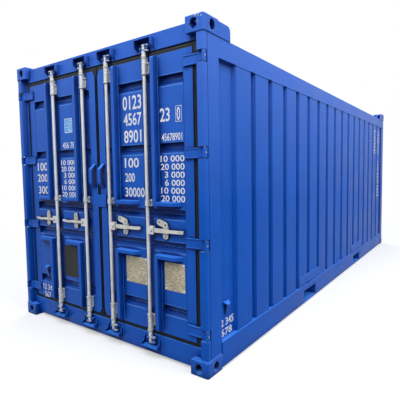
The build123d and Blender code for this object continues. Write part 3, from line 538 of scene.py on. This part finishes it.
finishOfNode = {
    "corner_castings_top": "casting", "corner_castings_bottom": "casting",
    "side_walls": "wallSheet", "rear_wall": "wallSheet", "roof_panel": "wallSheet",
    "top_side_rails": "sideFrame", "bottom_side_rails": "sideFrame", "pocket_doublers": "sideFrame",
    "door_posts": "sideFrame", "rear_posts": "sideFrame", "wall_tie_eyes": "sideFrame",
    "floor_deck": "board", "hinge_pins": "pin", "data_plates": "plate", "document_plate": "holder",
}
finishOfEnding = {
    "door_panel": "doorPanel", "door_frame": "doorSheet", "door_seal": "seal", "rod_bearings": "zinc",
    "handle_catches": "gear", "_rod": "rod", "_cams": "cam", "r_handle": "gear", "hinge_blades": "fitting",
    "guards": "fitting", "keepers": "fitting", "eyes": "fitting", "_eye": "fitting",
    "grab_handle": "fitting",
}


def finishFor(nodeName):
    if nodeName in finishOfNode:
        return finishOfNode[nodeName]
    for ending, finish in finishOfEnding.items():
        if nodeName.endswith(ending):
            return finish
    return "frame"


for nodeName, nodeObject in nodes.items():
    for slotNumber in range(max(1, len(nodeObject.material_slots))):
        if len(nodeObject.data.materials) <= slotNumber:
            nodeObject.data.materials.append(None)
        nodeObject.data.materials[slotNumber] = finishes[finishFor(nodeName)]
print("finishes made and given to", len(nodes), "nodes")


# Helpers for pieces

def addPiece(name, mesh, finish, body):
    piece = addObject(name, mesh)
    mesh.materials.clear()
    mesh.materials.append(finishes[finish])
    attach(piece, body)
    return piece


def joinMeshes(name, meshes):
    whole = bmesh.new()
    for mesh in meshes:
        whole.from_mesh(mesh)
        bpy.data.meshes.remove(mesh)
    joined = bpy.data.meshes.new(name)
    whole.to_mesh(joined)
    whole.free()
    return joined


def boxMesh(name, low, high):
    mesh = bpy.data.meshes.new(name)
    corners = [(x, y, z) for x in (low[0], high[0]) for y in (low[1], high[1]) for z in (low[2], high[2])]
    faces = [(0, 1, 3, 2), (4, 6, 7, 5), (0, 4, 5, 1), (2, 3, 7, 6), (0, 2, 6, 4), (1, 5, 7, 3)]
    mesh.from_pydata(corners, [], faces)
    mesh.update()
    return mesh


def ringMesh(name, places, profile, steps=28):
    # Closed rings about upright axes; the profile is (radius, height), outside upwards, inside back down
    verts = []
    faces = []
    count = len(profile)
    for x, y, z in places:
        first = len(verts)
        for step in range(steps):
            angle = 2 * math.pi * step / steps
            for radius, high in profile:
                verts.append((x + radius * math.cos(angle), y + radius * math.sin(angle), z + high))
        for step in range(steps):
            here = first + step * count
            there = first + (step + 1) % steps * count
            for n in range(count):
                after = (n + 1) % count
                faces.append((here + n, there + n, there + after, here + after))
    mesh = bpy.data.meshes.new(name)
    mesh.from_pydata(verts, [], faces)
    mesh.update()
    return mesh


def growMesh(name, seed, tree, finish, values):
    # Runs a geometry tree on the seed mesh and keeps the result as a plain mesh
    holder = addObject(name, seed)
    modifier = holder.modifiers.new("grow", "NODES")
    modifier.node_group = tree
    sockets = {item.name: item.identifier for item in tree.interface.items_tree
               if item.item_type == "SOCKET" and item.in_out == "INPUT"}
    for key, value in {"Finish": finishes[finish], **values}.items():
        modifier[sockets[key]] = value
    grown = holder.evaluated_get(bpy.context.evaluated_depsgraph_get())
    mesh = bpy.data.meshes.new_from_object(grown)
    holder.modifiers.remove(modifier)
    bpy.data.objects.remove(holder)
    mesh.name = name
    return mesh


def startGrowth(name, values):
    # A geometry tree turns the geometry of the seed into pieces of one finish
    flow = {"Geometry": "NodeSocketGeometry", "Finish": "NodeSocketMaterial"}
    return startGroup(name, "GeometryNodeTree", flow, values, {"Geometry": "NodeSocketGeometry"})


def endGrowth(tree, start, end, geometry):
    realize = addNode(tree, "GeometryNodeRealizeInstances", (5, 0), {"Geometry": geometry})
    finish = addNode(tree, "GeometryNodeSetMaterial", (6, 0), {
        "Geometry": realize.outputs["Geometry"], "Material": start.outputs["Finish"]})
    wire(tree, finish.outputs["Geometry"], end.inputs["Geometry"])
    return tree


def raisedBy(tree, spot, height, mesh):
    lift = addNode(tree, "ShaderNodeCombineXYZ", (spot[0] - 1, spot[1] - 1), {"Z": height})
    inputs = {"Geometry": mesh, "Translation": lift.outputs["Vector"]}
    return addNode(tree, "GeometryNodeTransform", spot, inputs).outputs["Geometry"]


def spreadOver(tree, spot, **inputs):
    return addNode(tree, "GeometryNodeInstanceOnPoints", spot, inputs).outputs["Instances"]


def makeBoltTree():
    # A tapered head on a washer at every point, facing along the point's facing, turned at random
    tree, start, end = startGrowth("boltHeads", {
        "Sides": 6, "Head Radius": 0.008, "Top Radius": 0.007, "Head Height": 0.006,
        "Washer Radius": 0.011, "Washer Height": 0.002})
    given = start.outputs
    head = addNode(tree, "GeometryNodeMeshCone", (-3, 2), {
        "Vertices": given["Sides"], "Radius Bottom": given["Head Radius"],
        "Radius Top": given["Top Radius"], "Depth": given["Head Height"]})
    washer = addNode(tree, "GeometryNodeMeshCone", (-3, 0), {
        "Vertices": 14, "Radius Bottom": given["Washer Radius"],
        "Radius Top": times(tree, (-4, 0), given["Washer Radius"], 0.94), "Depth": given["Washer Height"]})
    raised = raisedBy(tree, (-2, 2), given["Washer Height"], head.outputs["Mesh"])
    both = addNode(tree, "GeometryNodeJoinGeometry", (-1, 1), {"Geometry": raised})
    wire(tree, washer.outputs["Mesh"], both.inputs["Geometry"])
    facing = addNode(tree, "GeometryNodeInputNamedAttribute", (-3, -2), {"Name": "facing"},
                     data_type="FLOAT_VECTOR")
    aim = addNode(tree, "FunctionNodeAlignRotationToVector", (-2, -2),
                  {"Vector": facing.outputs["Attribute"]}, axis="Z")
    # Input 3 is the highest number, output 1 the random number itself
    random = addNode(tree, "FunctionNodeRandomValue", (-3, -3), {3: 2 * math.pi, "Seed": 7},
                     data_type="FLOAT")
    spin = addNode(tree, "FunctionNodeAxisAngleToRotation", (-2, -3), {
        "Axis": (0.0, 0.0, 1.0), "Angle": random.outputs[1]})
    turn = addNode(tree, "FunctionNodeRotateRotation", (-1, -2), {
        "Rotation": aim.outputs["Rotation"], "Rotate By": spin.outputs["Rotation"]},
        rotation_space="LOCAL")
    bolts = spreadOver(tree, (2, 0), Points=given["Geometry"], Instance=both.outputs["Geometry"],
                       Rotation=turn.outputs["Rotation"])
    return endGrowth(tree, start, end, bolts)


def makeWeldTree():
    # A rippled bead along every line of the seed
    tree, start, end = startGrowth("weldBead", {
        "Bead Radius": 0.004, "Ripple": 0.5, "Step": 0.008, "Sides": 6})
    given = start.outputs
    line = addNode(tree, "GeometryNodeMeshToCurve", (-4, 2), {"Mesh": given["Geometry"]})
    points = addNode(tree, "GeometryNodeResampleCurve", (-3, 2), mode="LENGTH")
    wire(tree, line.outputs["Curve"], points.inputs["Curve"])
    wire(tree, given["Step"], points.inputs["Length"])
    ring = addNode(tree, "GeometryNodeCurvePrimitiveCircle", (-3, 0), {
        "Resolution": given["Sides"], "Radius": given["Bead Radius"]})
    swing = sums(tree, (-3, -2), "SUBTRACT", noiseAt(tree, (-4, -2), Scale=90.0, Detail=2.0), 0.5)
    swollen = sums(tree, (-1, -2), "ADD", times(tree, (-2, -2), swing, given["Ripple"]), 1.0)
    bead = addNode(tree, "GeometryNodeCurveToMesh", (0, 1), {
        "Curve": points.outputs["Curve"], "Profile Curve": ring.outputs["Curve"],
        "Scale": swollen, "Fill Caps": True})
    return endGrowth(tree, start, end, bead.outputs["Mesh"])


def makeScrewTree():
    # Low screw heads on a grid, a little proud of the boards
    tree, start, end = startGrowth("floorScrews", {
        "Rows": 18, "Columns": 9, "Long": 5.0, "Wide": 2.0, "Height": 0.2, "Head Radius": 0.007})
    given = start.outputs
    grid = addNode(tree, "GeometryNodeMeshGrid", (-4, 1), {
        "Vertices X": given["Rows"], "Vertices Y": given["Columns"], "Size X": given["Long"],
        "Size Y": given["Wide"]})
    raised = raisedBy(tree, (-3, 1), given["Height"], grid.outputs["Mesh"])
    head = addNode(tree, "GeometryNodeMeshCone", (-3, -1), {
        "Vertices": 10, "Depth": 0.0015, "Radius Bottom": given["Head Radius"],
        "Radius Top": times(tree, (-4, -2), given["Head Radius"], 0.8)})
    screws = spreadOver(tree, (2, 0), Points=raised, Instance=head.outputs["Mesh"])
    return endGrowth(tree, start, end, screws)


boltTree = makeBoltTree()
weldTree = makeWeldTree()
screwTree = makeScrewTree()


def pointSeed(points, facing):
    mesh = bpy.data.meshes.new("pointSeed")
    mesh.from_pydata(points, [], [])
    attribute = mesh.attributes.new("facing", "FLOAT_VECTOR", "POINT")
    for n in range(len(points)):
        attribute.data[n].vector = facing
    return mesh


def lineSeed(lines):
    points = []
    edges = []
    for line in lines:
        edges += [(len(points) + n, len(points) + n + 1) for n in range(len(line) - 1)]
        points += line
    mesh = bpy.data.meshes.new("lineSeed")
    mesh.from_pydata(points, edges, [])
    return mesh


# Bolts, rivets and grease nipples

boltSizes = {
    "flange": {"Sides": 6, "Head Radius": 0.0085, "Top Radius": 0.0075, "Head Height": 0.0065,
               "Washer Radius": 0.0105, "Washer Height": 0.002},
    "hub": {"Sides": 6, "Head Radius": 0.0105, "Top Radius": 0.0092, "Head Height": 0.0075,
            "Washer Radius": 0.0145, "Washer Height": 0.002},
    "catch": {"Sides": 8, "Head Radius": 0.0075, "Top Radius": 0.0055, "Head Height": 0.0035,
              "Washer Radius": 0.0095, "Washer Height": 0.0012},
    "rivet": {"Sides": 10, "Head Radius": 0.0078, "Top Radius": 0.0045, "Head Height": 0.0035,
              "Washer Radius": 0.0095, "Washer Height": 0.001},
    "nipple": {"Sides": 8, "Head Radius": 0.0032, "Top Radius": 0.0022, "Head Height": 0.0016,
               "Washer Radius": 0.0055, "Washer Height": 0.0008},
}

boltPlaces = {
    "flangeThick": 0.005,
    "flangeHalf": 0.0235,
    "flangeEdge": 0.013,
    # lowest and highest edge of the three flanges of a rod
    "flanges": ((0.258, 0.362), (1.231, 1.293), (2.262, 2.362)),
    "hubReach": 0.044,
    "hubFront": 0.012,
    "catchPlace": 0.175,
    "catchFront": 0.016,
    "catchHeights": (0.046, -0.050),  # from the handle
    "plateEdge": 0.011,
    "nippleOut": 0.0130,
    "bladeHalf": 0.037,
    "hinges": 4,
}
outOfDoor = (-1.0, 0.0, 0.0)


def addBolts(name, points, size, finish, body, facing=outOfDoor):
    mesh = growMesh(name, pointSeed(points, facing), boltTree, finish, boltSizes[size])
    return addPiece(name, mesh, finish, body)


def makeBolts():
    look = boltPlaces
    flangeFace = doorFace - look["flangeThick"]
    catchFace = doorFace - look["catchFront"]
    wide = look["flangeHalf"]
    edge = look["flangeEdge"]
    for hand, side in doorSides.items():
        door = f"{hand}_door"
        flangePoints = []
        catchPoints = []
        for place in rodPlaces.values():
            for low, high in look["flanges"]:
                flangePoints += [(flangeFace, side * place + across, z) for across in (-wide, wide)
                                 for z in (low + edge, high - edge)]
            catchY = side * (place + look["catchPlace"])
            catchPoints += [(catchFace, catchY, handleHeight + up) for up in look["catchHeights"]]
        addBolts(f"{hand}_flange_bolts", flangePoints, "flange", "zinc", door)
        addBolts(f"{hand}_catch_bolts", catchPoints, "catch", "screw", door)
        for which, place in rodPlaces.items():
            hubPoint = (rodX - look["hubFront"], side * (place + look["hubReach"]), handleHeight)
            addBolts(f"{hand}_{which}_hub_bolt", [hubPoint], "hub", "gear", f"{hand}_{which}_lock")
        pin = axisOf[door]
        low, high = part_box(f"{hand}_hinge_blades")
        half = look["bladeHalf"]
        step = (high.z - low.z - 2 * half) / (look["hinges"] - 1)
        nipples = [(pin.x, pin.y + side * look["nippleOut"], low.z + half + n * step)
                   for n in range(look["hinges"])]
        addBolts(f"{hand}_grease_nipples", nipples, "nipple", "brass", door,
                 (0.0, float(side), 0.0))


def plateCorners(nodeName):
    # The data plates are two solids in one node, so their corners are found from the vertices
    rows = sorted({round(v.co.y, 4) for v in nodes[nodeName].data.vertices})
    low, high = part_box(nodeName)
    edge = boltPlaces["plateEdge"]
    points = []
    for start, stop in zip(rows[0::2], rows[1::2]):
        points += [(low.x, y, z) for y in (start + edge, stop - edge)
                   for z in (low.z + edge, high.z - edge)]
    return points


makeBolts()
addBolts("data_plate_rivets", plateCorners("data_plates"), "rivet", "letter", "right_door")
print("bolts, rivets and nipples made")


# Collars on the sleeves, and the thick necks of the rods beside the cams

sleeveLook = {
    "sleeves": ((0.228, 0.362), (1.241, 1.283), (2.262, 2.392)),
    "collaredFrom": 0.1,  # a shorter sleeve has no collars
    "collarHigh": 0.010,
    "collarOver": 0.002,
    "collarRadius": 0.0225,
    "collarBevel": (0.0012, 0.0015),
    "inside": 0.0143,
    "neckRadius": 0.0172,
    "neckInside": 0.0130,
    "neckRing": 0.0192,
    "ringSteps": (0.002, 0.009, 0.012),  # where the ring starts, ends and has run out
    "neckGap": 0.0035,
    "camSpan": 0.052,  # from the far face of one cam plate to the far face of the other
}


def collarProfile():
    look = sleeveLook
    high = look["collarHigh"]
    inner = look["inside"]
    outer = look["collarRadius"]
    inward, up = look["collarBevel"]
    return [(inner, 0.0), (outer - inward, 0.0), (outer, up), (outer, high - up), (outer - inward, high),
            (inner, high)]


def neckProfile(long, ringOnTop):
    look = sleeveLook
    inner = look["neckInside"]
    plain = look["neckRadius"]
    ring = look["neckRing"]
    start, stop, clear = look["ringSteps"]
    outside = [(plain, 0.0), (ring, start), (ring, stop), (plain, clear), (plain, long)]
    if ringOnTop:
        outside = [(radius, long - up) for radius, up in reversed(outside)]
    return [(inner, 0.0), *outside, (inner, long)]


def makeCollars(hand, side):
    look = sleeveLook
    places = []
    for place in rodPlaces.values():
        for low, high in look["sleeves"]:
            if high - low > look["collaredFrom"]:
                y = side * place
                places += [(rodX, y, low - look["collarOver"]),
                           (rodX, y, high + look["collarOver"] - look["collarHigh"])]
    mesh = ringMesh(f"{hand}Collars", places, collarProfile())
    addPiece(f"{hand}_sleeve_collars", mesh, "zinc", f"{hand}_door")


def makeNecks(hand, side, which, place):
    look = sleeveLook
    low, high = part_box(f"{hand}_{which}_cams")
    foot = look["sleeves"][0][0] - look["neckGap"]
    head = look["sleeves"][-1][1] + look["neckGap"]
    meshes = []
    for start, stop, ringOnTop in ((low.z + look["camSpan"], foot, True),
                                   (head, high.z - look["camSpan"], False)):
        profile = neckProfile(stop - start, ringOnTop)
        meshes.append(ringMesh("neck", [(rodX, side * place, start)], profile))
    addPiece(f"{hand}_{which}_rod_necks", joinMeshes(f"{hand}{which}Necks", meshes), "zinc",
             f"{hand}_{which}_lock")


for hand, side in doorSides.items():
    makeCollars(hand, side)
    for which, place in rodPlaces.items():
        makeNecks(hand, side, which, place)
print("sleeve collars and rod necks made")


# Weld beads where plates meet

weldSizes = {
    "thin": {"Bead Radius": 0.0018, "Ripple": 1.2, "Step": 0.014, "Sides": 5},
    "plain": {"Bead Radius": 0.0045, "Ripple": 0.8, "Step": 0.009, "Sides": 6},
    "heavy": {"Bead Radius": 0.0105, "Ripple": 0.25, "Step": 0.012, "Sides": 9},
}
weldLook = {
    # size, inset and height of the beads over the bottom castings and under the top ones
    "castingBeads": {"foot": ("heavy", 0.0125, 0.004), "head": ("plain", 0.0075, -0.002)},
    "castingHigh": 0.118,
    "castingLong": 0.178,
    "acrossEnd": 0.0729,
    "doublerInset": 0.008,
    "guardCheek": 0.096,
    "guardLow": 0.074,
    "guardHigh": 0.085,
}


def addWelds(name, lines, size, finish, body):
    mesh = growMesh(name, lineSeed(lines), weldTree, finish, weldSizes[size])
    return addPiece(name, mesh, finish, body)


def wallLine(side, z):
    # Outer skin of a side wall in plan, read from the wall itself
    outermost = {}
    for v in nodes["side_walls"].data.vertices:
        if v.co.y * side > 0:
            x = round(v.co.x, 4)
            outermost[x] = max(outermost.get(x, 0.0), abs(v.co.y))
    return [(x, side * outermost[x], z) for x in sorted(outermost)]


def makeCastingWelds():
    look = weldLook
    heights = {"foot": look["castingHigh"], "head": cadBox[1][2] - look["castingHigh"]}
    for which, (size, inset, lift) in look["castingBeads"].items():
        z = heights[which] + lift
        seams = []
        for end in (-1, 1):
            for side in (-1, 1):
                x = end * (endX - inset)
                y = side * (sideY - inset)
                seams.append([(end * (endX - look["castingLong"]), y, z), (x, y, z),
                              (x, side * (sideY - look["acrossEnd"]), z)])
        addWelds(f"{which}_welds", seams, size, "weld", "frame")


def makeWallWelds():
    low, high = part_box("side_walls")
    lines = [wallLine(side, z) for side in (-1, 1) for z in (low.z, high.z)]
    low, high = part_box("pocket_doublers")
    ends = sorted({round(v.co.x, 4) for v in nodes["pocket_doublers"].data.vertices})
    for side in (-1, 1):
        y = side * (sideY - weldLook["doublerInset"])
        for start, stop in zip(ends[0::2], ends[1::2]):
            corners = [(start, y, low.z), (stop, y, low.z), (stop, y, high.z), (start, y, high.z)]
            lines.append([*corners, corners[0]])
    addWelds("wall_welds", lines, "plain", "sideFrame", "frame")


def makeGuardWelds():
    look = weldLook
    low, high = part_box("cam_guards")
    guards = []
    for side in doorSides.values():
        for place in rodPlaces.values():
            cheeks = (side * place - look["guardCheek"], side * place + look["guardCheek"])
            for y in cheeks:
                guards.append([(doorFace, y, low.z), (doorFace, y, low.z + look["guardLow"])])
                guards.append([(doorFace, y, high.z - look["guardHigh"]), (doorFace, y, high.z)])
            guards += [[(doorFace, y, z) for y in cheeks] for z in (low.z, high.z)]
    addWelds("cam_guard_welds", guards, "plain", "weld", "frame")


barLook = {
    "near": 0.080,
    "wide": 0.034,
    "high": 0.028,
    "upper": (1.246, 2.387),
    "lower": (0.858, 0.240),
    "ends": {"inner": 0.513, "outer": 0.962},
}


def makeDoorWelds():
    look = barLook
    for hand, side in doorSides.items():
        lines = []
        for which, place in rodPlaces.items():
            near = side * (place + look["near"])
            far = side * (place + look["near"] + look["wide"])
            out = side * look["ends"][which]
            for flat, tip in (look["upper"], look["lower"]):
                inward = flat + math.copysign(look["high"], tip - flat)
                lines.append([(doorFace, near, tip), (doorFace, near, flat), (doorFace, out, flat)])
                lines.append([(doorFace, far, tip), (doorFace, far, inward), (doorFace, out, inward)])
        addWelds(f"{hand}_bar_welds", lines, "plain", "weld", f"{hand}_door")
        low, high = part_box(f"{hand}_door_panel")
        seams = [[(doorFace, y, low.z), (doorFace, y, high.z)] for y in (low.y, high.y)]
        addWelds(f"{hand}_panel_welds", seams, "thin", "doorSheet", f"{hand}_door")


makeCastingWelds()
makeWallWelds()
makeGuardWelds()
makeDoorWelds()
print("weld beads made")


# Screws of the floor boards

screwLook = {"Rows": 36, "Columns": 13, "Long": 5.55, "Wide": 2.16, "Head Radius": 0.0065}


def makeFloorScrews():
    values = {"Height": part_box("floor_deck")[1].z, **screwLook}
    mesh = growMesh("floorScrews", bpy.data.meshes.new("screwSeed"), screwTree, "screw", values)
    addPiece("floor_screws", mesh, "screw", "frame")


makeFloorScrews()
print("floor screws made")


# Lettering: plain numbers where the object has words

lettering = {
    "proud": 0.0006,
    "bold": 0.014,
    "lineWide": 0.0035,
    "rows": [
        # door, digits, inner and outer distance from the middle of the doors, low, high
        ("right", "0123", 0.336, 0.552, 2.016, 2.130),
        ("right", "4567", 0.342, 0.550, 1.888, 1.990),
        ("right", "8901", 0.342, 0.545, 1.748, 1.852),
        ("right", "23", 0.752, 0.852, 1.890, 1.993),
        ("right", "0", 0.920, 0.953, 1.890, 1.987),
        ("right", "45678901", 0.765, 0.970, 1.742, 1.800),
        ("right", "100", 0.341, 0.508, 1.545, 1.625),
        ("right", "200", 0.342, 0.456, 1.428, 1.502),
        ("right", "30000", 0.338, 0.566, 1.304, 1.382),
        ("left", "100", 0.802, 0.982, 1.532, 1.616),
        ("left", "200", 0.808, 0.990, 1.419, 1.500),
        ("left", "300", 0.801, 0.982, 1.296, 1.376),
        ("left", "456 78", 0.345, 0.529, 1.742, 1.800),
        ("left", "12 34", 0.812, 0.975, 0.292, 0.352),
        ("left", "567", 0.838, 0.950, 0.212, 0.272),
    ],
    "columns": {"right": (0.748, 0.988), "left": (0.328, 0.566)},
    "columnRows": ["10 000", "20 000", "3 000", "6 000", "10 000", "20 000"],
    "columnLow": 1.278,
    "columnHigh": 1.644,
    "columnFill": 0.80,
    "shortRow": 0.83,  # share of the width that a shorter row of a column takes
    "digitBox": (0.909, 0.967, 1.880, 1.997),
    # digits, X of the row's ends, low, high; the wall stands back beside the door post
    "recessRows": [("12 345", -2.834, -2.625, 0.300, 0.358), ("678", -2.806, -2.650, 0.222, 0.280)],
    # the same, with the digits one below the other
    "wallRows": [("01234567", 2.195, 2.325, 1.79, 2.23), ("24681357", 2.495, 2.615, 1.79, 2.23),
                 ("13579024", 2.500, 2.615, 1.235, 1.66),
                 (("10", "20", "30", "40"), 2.480, 2.625, 0.985, 1.20)],
    "fineness": 3,
}


def textMesh(name, words, corner, across, wide, high, squeeze=1.0):
    # corner is the low left one as a reader sees it, across the direction of reading
    look = lettering
    curve = bpy.data.curves.new(name, "FONT")
    curve.body = words
    curve.resolution_u = look["fineness"]
    curve.extrude = 0.5
    curve.offset = look["bold"]
    holder = addObject(name, curve)
    bpy.context.view_layer.update()
    mesh = bpy.data.meshes.new_from_object(holder.evaluated_get(bpy.context.evaluated_depsgraph_get()))
    bpy.data.objects.remove(holder)
    low = [min(v.co[axis] for v in mesh.vertices) for axis in range(3)]
    top = [max(v.co[axis] for v in mesh.vertices) for axis in range(3)]
    up = Vector((0.0, 0.0, 1.0))
    ways = (across * wide * squeeze, up * high, across.cross(up) * look["proud"])
    for v in mesh.vertices:
        v.co = corner + sum((ways[axis] * (v.co[axis] - low[axis]) / (top[axis] - low[axis])
                             for axis in range(3)), Vector())
    mesh.materials.clear()
    mesh.update()
    return mesh


def doorText(name, words, side, inner, outer, low, high, squeeze=1.0):
    # A reader of the doors sees -Y to the right; a squeezed row ends where the others do
    start = max(side * inner, side * outer) - (outer - inner) * (1 - squeeze)
    return textMesh(name, words, Vector((doorFace, start, low)), Vector((0.0, -1.0, 0.0)),
                    outer - inner, high - low, squeeze)


def lineFrame(name, side, inner, outer, low, high, wide):
    y0, y1 = sorted((side * inner, side * outer))
    x0, x1 = doorFace - lettering["proud"], doorFace
    return [
        boxMesh(name, (x0, y0, low), (x1, y1, low + wide)),
        boxMesh(name, (x0, y0, high - wide), (x1, y1, high)),
        boxMesh(name, (x0, y0, low + wide), (x1, y0 + wide, high - wide)),
        boxMesh(name, (x0, y1 - wide, low + wide), (x1, y1, high - wide)),
    ]


def makeDoorLettering():
    look = lettering
    pitch = (look["columnHigh"] - look["columnLow"]) / len(look["columnRows"])
    longest = max(len(words) for words in look["columnRows"])
    for hand, side in doorSides.items():
        meshes = []
        for row, (door, words, inner, outer, low, high) in enumerate(look["rows"]):
            if door == hand:
                meshes.append(doorText(f"{hand}Row{row}", words, side, inner, outer, low, high))
        for row, words in enumerate(look["columnRows"]):
            low = look["columnHigh"] - (row + 1) * pitch
            squeeze = 1.0 if len(words) == longest else look["shortRow"]
            meshes.append(doorText(f"{hand}Column{row}", words, side, *look["columns"][hand], low,
                                   low + look["columnFill"] * pitch, squeeze))
        if hand == "right":
            meshes += lineFrame("digitBox", side, *look["digitBox"], look["lineWide"])
        addPiece(f"{hand}_door_digits", joinMeshes(f"{hand}Digits", meshes), "letter",
                 f"{hand}_door")


def makeWallLettering():
    depths = [abs(point[1]) for point in wallLine(1, 0.0)]
    rows = [(depths[0], *row) for row in lettering["recessRows"]]
    rows += [(max(depths), "\n".join(digits), *ends) for digits, *ends in lettering["wallRows"]]
    meshes = []
    for side in (-1, 1):
        across = Vector((-float(side), 0.0, 0.0))
        for wallY, words, x0, x1, low, high in rows:
            corner = Vector((x0 if side < 0 else x1, side * wallY, low))
            meshes.append(textMesh("wallRow", words, corner, across, x1 - x0, high - low))
    addPiece("wall_digits", joinMeshes("wallDigits", meshes), "letter", "frame")


labelLook = {
    "inner": 0.369, "outer": 0.487, "low": 1.888, "high": 2.022,
    "border": 0.006,
    # plain marks as shares of the label: across from and to, up from and to
    "marks": [(0.14, 0.50, 0.10, 0.15), (0.22, 0.62, 0.22, 0.27), (0.14, 0.86, 0.38, 0.42),
              (0.14, 0.20, 0.50, 0.88), (0.14, 0.44, 0.50, 0.55), (0.38, 0.44, 0.50, 0.88),
              (0.14, 0.44, 0.83, 0.88), (0.56, 0.86, 0.60, 0.64), (0.62, 0.80, 0.74, 0.78)],
}


def makeLabel():
    # A generic label on the left door: a pale frame around pale blocks on sky blue
    look = labelLook
    proud = lettering["proud"]
    side = doorSides["left"]
    ends = (look["inner"], look["outer"], look["low"], look["high"])
    y0, y1 = sorted((side * look["inner"], side * look["outer"]))
    fieldX = doorFace - proud
    field = boxMesh("labelField", (fieldX, y0, look["low"]), (doorFace, y1, look["high"]))
    addPiece("label_field", field, "sky", "left_door")
    marks = lineFrame("labelFrame", side, *ends, look["border"])
    for mesh in marks:
        for v in mesh.vertices:
            v.co.x -= proud
    wide = y1 - y0
    high = look["high"] - look["low"]
    for left, right, foot, head in look["marks"]:
        marks.append(boxMesh("labelMark", (fieldX - proud, y0 + left * wide, look["low"] + foot * high),
                             (fieldX, y0 + right * wide, look["low"] + head * high)))
    addPiece("label_marks", joinMeshes("labelMarks", marks), "letter", "left_door")


makeDoorLettering()
makeWallLettering()
makeLabel()
print("lettering made")


# Floor, background, lamps and camera

stageLook = {
    "floor": (0.82, 0.83, 0.84),
    "floorBounce": (0.09, 0.10, 0.12),
    "floorSize": 80.0,
    "fade": (3.0, 7.5),  # distances between which the floor turns into the background
    "glowLeast": 0.45,
    "worldColour": (0.84, 0.90, 1.0),
    "worldStrength": 0.47,
}


def seenStraight(tree, x, y):
    # One where the camera sees the surface itself, through glass or in a mirror
    rays = addNode(tree, "ShaderNodeLightPath", (x, y)).outputs
    seen = sums(tree, (x + 1, y), "MAXIMUM", rays["Is Camera Ray"], rays["Is Transmission Ray"])
    return sums(tree, (x + 2, y), "MAXIMUM", seen, rays["Is Glossy Ray"])


def makeFloor():
    look = stageLook
    half = look["floorSize"] / 2
    mesh = bpy.data.meshes.new("studioFloor")
    mesh.from_pydata([(-half, -half, 0), (half, -half, 0), (half, half, 0), (-half, half, 0)], [],
                     [(0, 1, 2, 3)])
    values = {"Roughness": 0.95, "Specular IOR Level": 0.0}
    material, tree, shader, place = startMaterial("studioFloor", values)
    seen = seenStraight(tree, -8, 2)
    wire(tree, blendColour(tree, (-2, 1), seen, look["floorBounce"], look["floor"]),
         shader.inputs["Base Color"])
    away = addNode(tree, "ShaderNodeVectorMath", (-6, -2), {0: place}, operation="LENGTH")
    fade = ramp(tree, (-4, -2), away.outputs["Value"], *look["fade"], look["glowLeast"],
                interpolation_type="SMOOTHSTEP")
    glow = addNode(tree, "ShaderNodeEmission", (0, -2), {"Color": (1.0, 1.0, 1.0), "Strength": 1.0})
    both = addNode(tree, "ShaderNodeMixShader", (2, 0), {
        "Fac": times(tree, (-1, 2), fade, seen), 1: shader.outputs["BSDF"], 2: glow.outputs["Emission"]})
    wire(tree, both.outputs["Shader"], tree.nodes["Material Output"].inputs["Surface"])
    mesh.materials.append(material)
    addObject("studioFloor", mesh)


def makeWorld():
    look = stageLook
    world = bpy.data.worlds.new("studioWorld")
    bpy.context.scene.world = world
    world.use_nodes = True
    tree = world.node_tree
    background = tree.nodes["Background"]
    seen = seenStraight(tree, -6, 1)
    wire(tree, blendColour(tree, (-2, 1), seen, look["worldColour"], (1.0, 1.0, 1.0)),
         background.inputs["Color"])
    strength = ramp(tree, (-2, -1), seen, 0.0, 1.0, look["worldStrength"])
    wire(tree, strength, background.inputs["Strength"])


lamps = {
    # name: place, size, watts, aim
    "doorLamp": ((-7.0, -1.2, 6.8), 4.5, 470.0, (-3.0, 0.0, 1.6)),
    "sideLamp": ((-1.5, -7.2, 8.0), 6.5, 740.0, (-0.8, -1.2, 1.5)),
    "topLamp": ((0.0, 0.0, 9.0), 8.0, 420.0, (0.0, 0.0, 0.0)),
    "rearLamp": ((8.0, 6.0, 6.0), 7.0, 420.0, (1.0, 0.5, 1.3)),
}


def makeLamps():
    for name, (place, size, watts, aim) in lamps.items():
        data = bpy.data.lights.new(name, "AREA")
        data.size = size
        data.energy = watts
        lamp = addObject(name, data)
        lamp.location = place
        lamp.rotation_euler = (Vector(aim) - Vector(place)).to_track_quat("-Z", "Y").to_euler()


cameraLook = {
    "place": (-5.1155, -2.7625, 1.509),
    "turn": 34.394,  # degrees from +X, seen from above
    "tilt": -3.873,
    "roll": -0.684,
    "lens": 33.545,
    "sensor": 36.0,
    "shift": (-0.0489, -0.0093),
    "reach": 200.0,
}


def makeCamera():
    look = cameraLook
    data = bpy.data.cameras.new("photoCamera")
    camera = addObject("photoCamera", data)
    turn, tilt, roll = (math.radians(look[angle]) for angle in ("turn", "tilt", "roll"))
    forward = Vector((math.cos(turn) * math.cos(tilt), math.sin(turn) * math.cos(tilt), math.sin(tilt)))
    level = Vector((math.sin(turn), -math.cos(turn), 0.0))
    right = math.cos(roll) * level + math.sin(roll) * level.cross(forward)
    spin = Matrix((right, right.cross(forward), -forward)).transposed()
    camera.matrix_world = Matrix.Translation(look["place"]) @ spin.to_4x4()
    data.sensor_width = look["sensor"]
    data.lens = look["lens"]
    data.shift_x, data.shift_y = look["shift"]
    data.clip_end = look["reach"]
    bpy.context.scene.camera = camera


makeFloor()
makeWorld()
makeLamps()
makeCamera()
bpy.context.scene.view_settings.view_transform = "Standard"
print("stage, lamps and camera set")
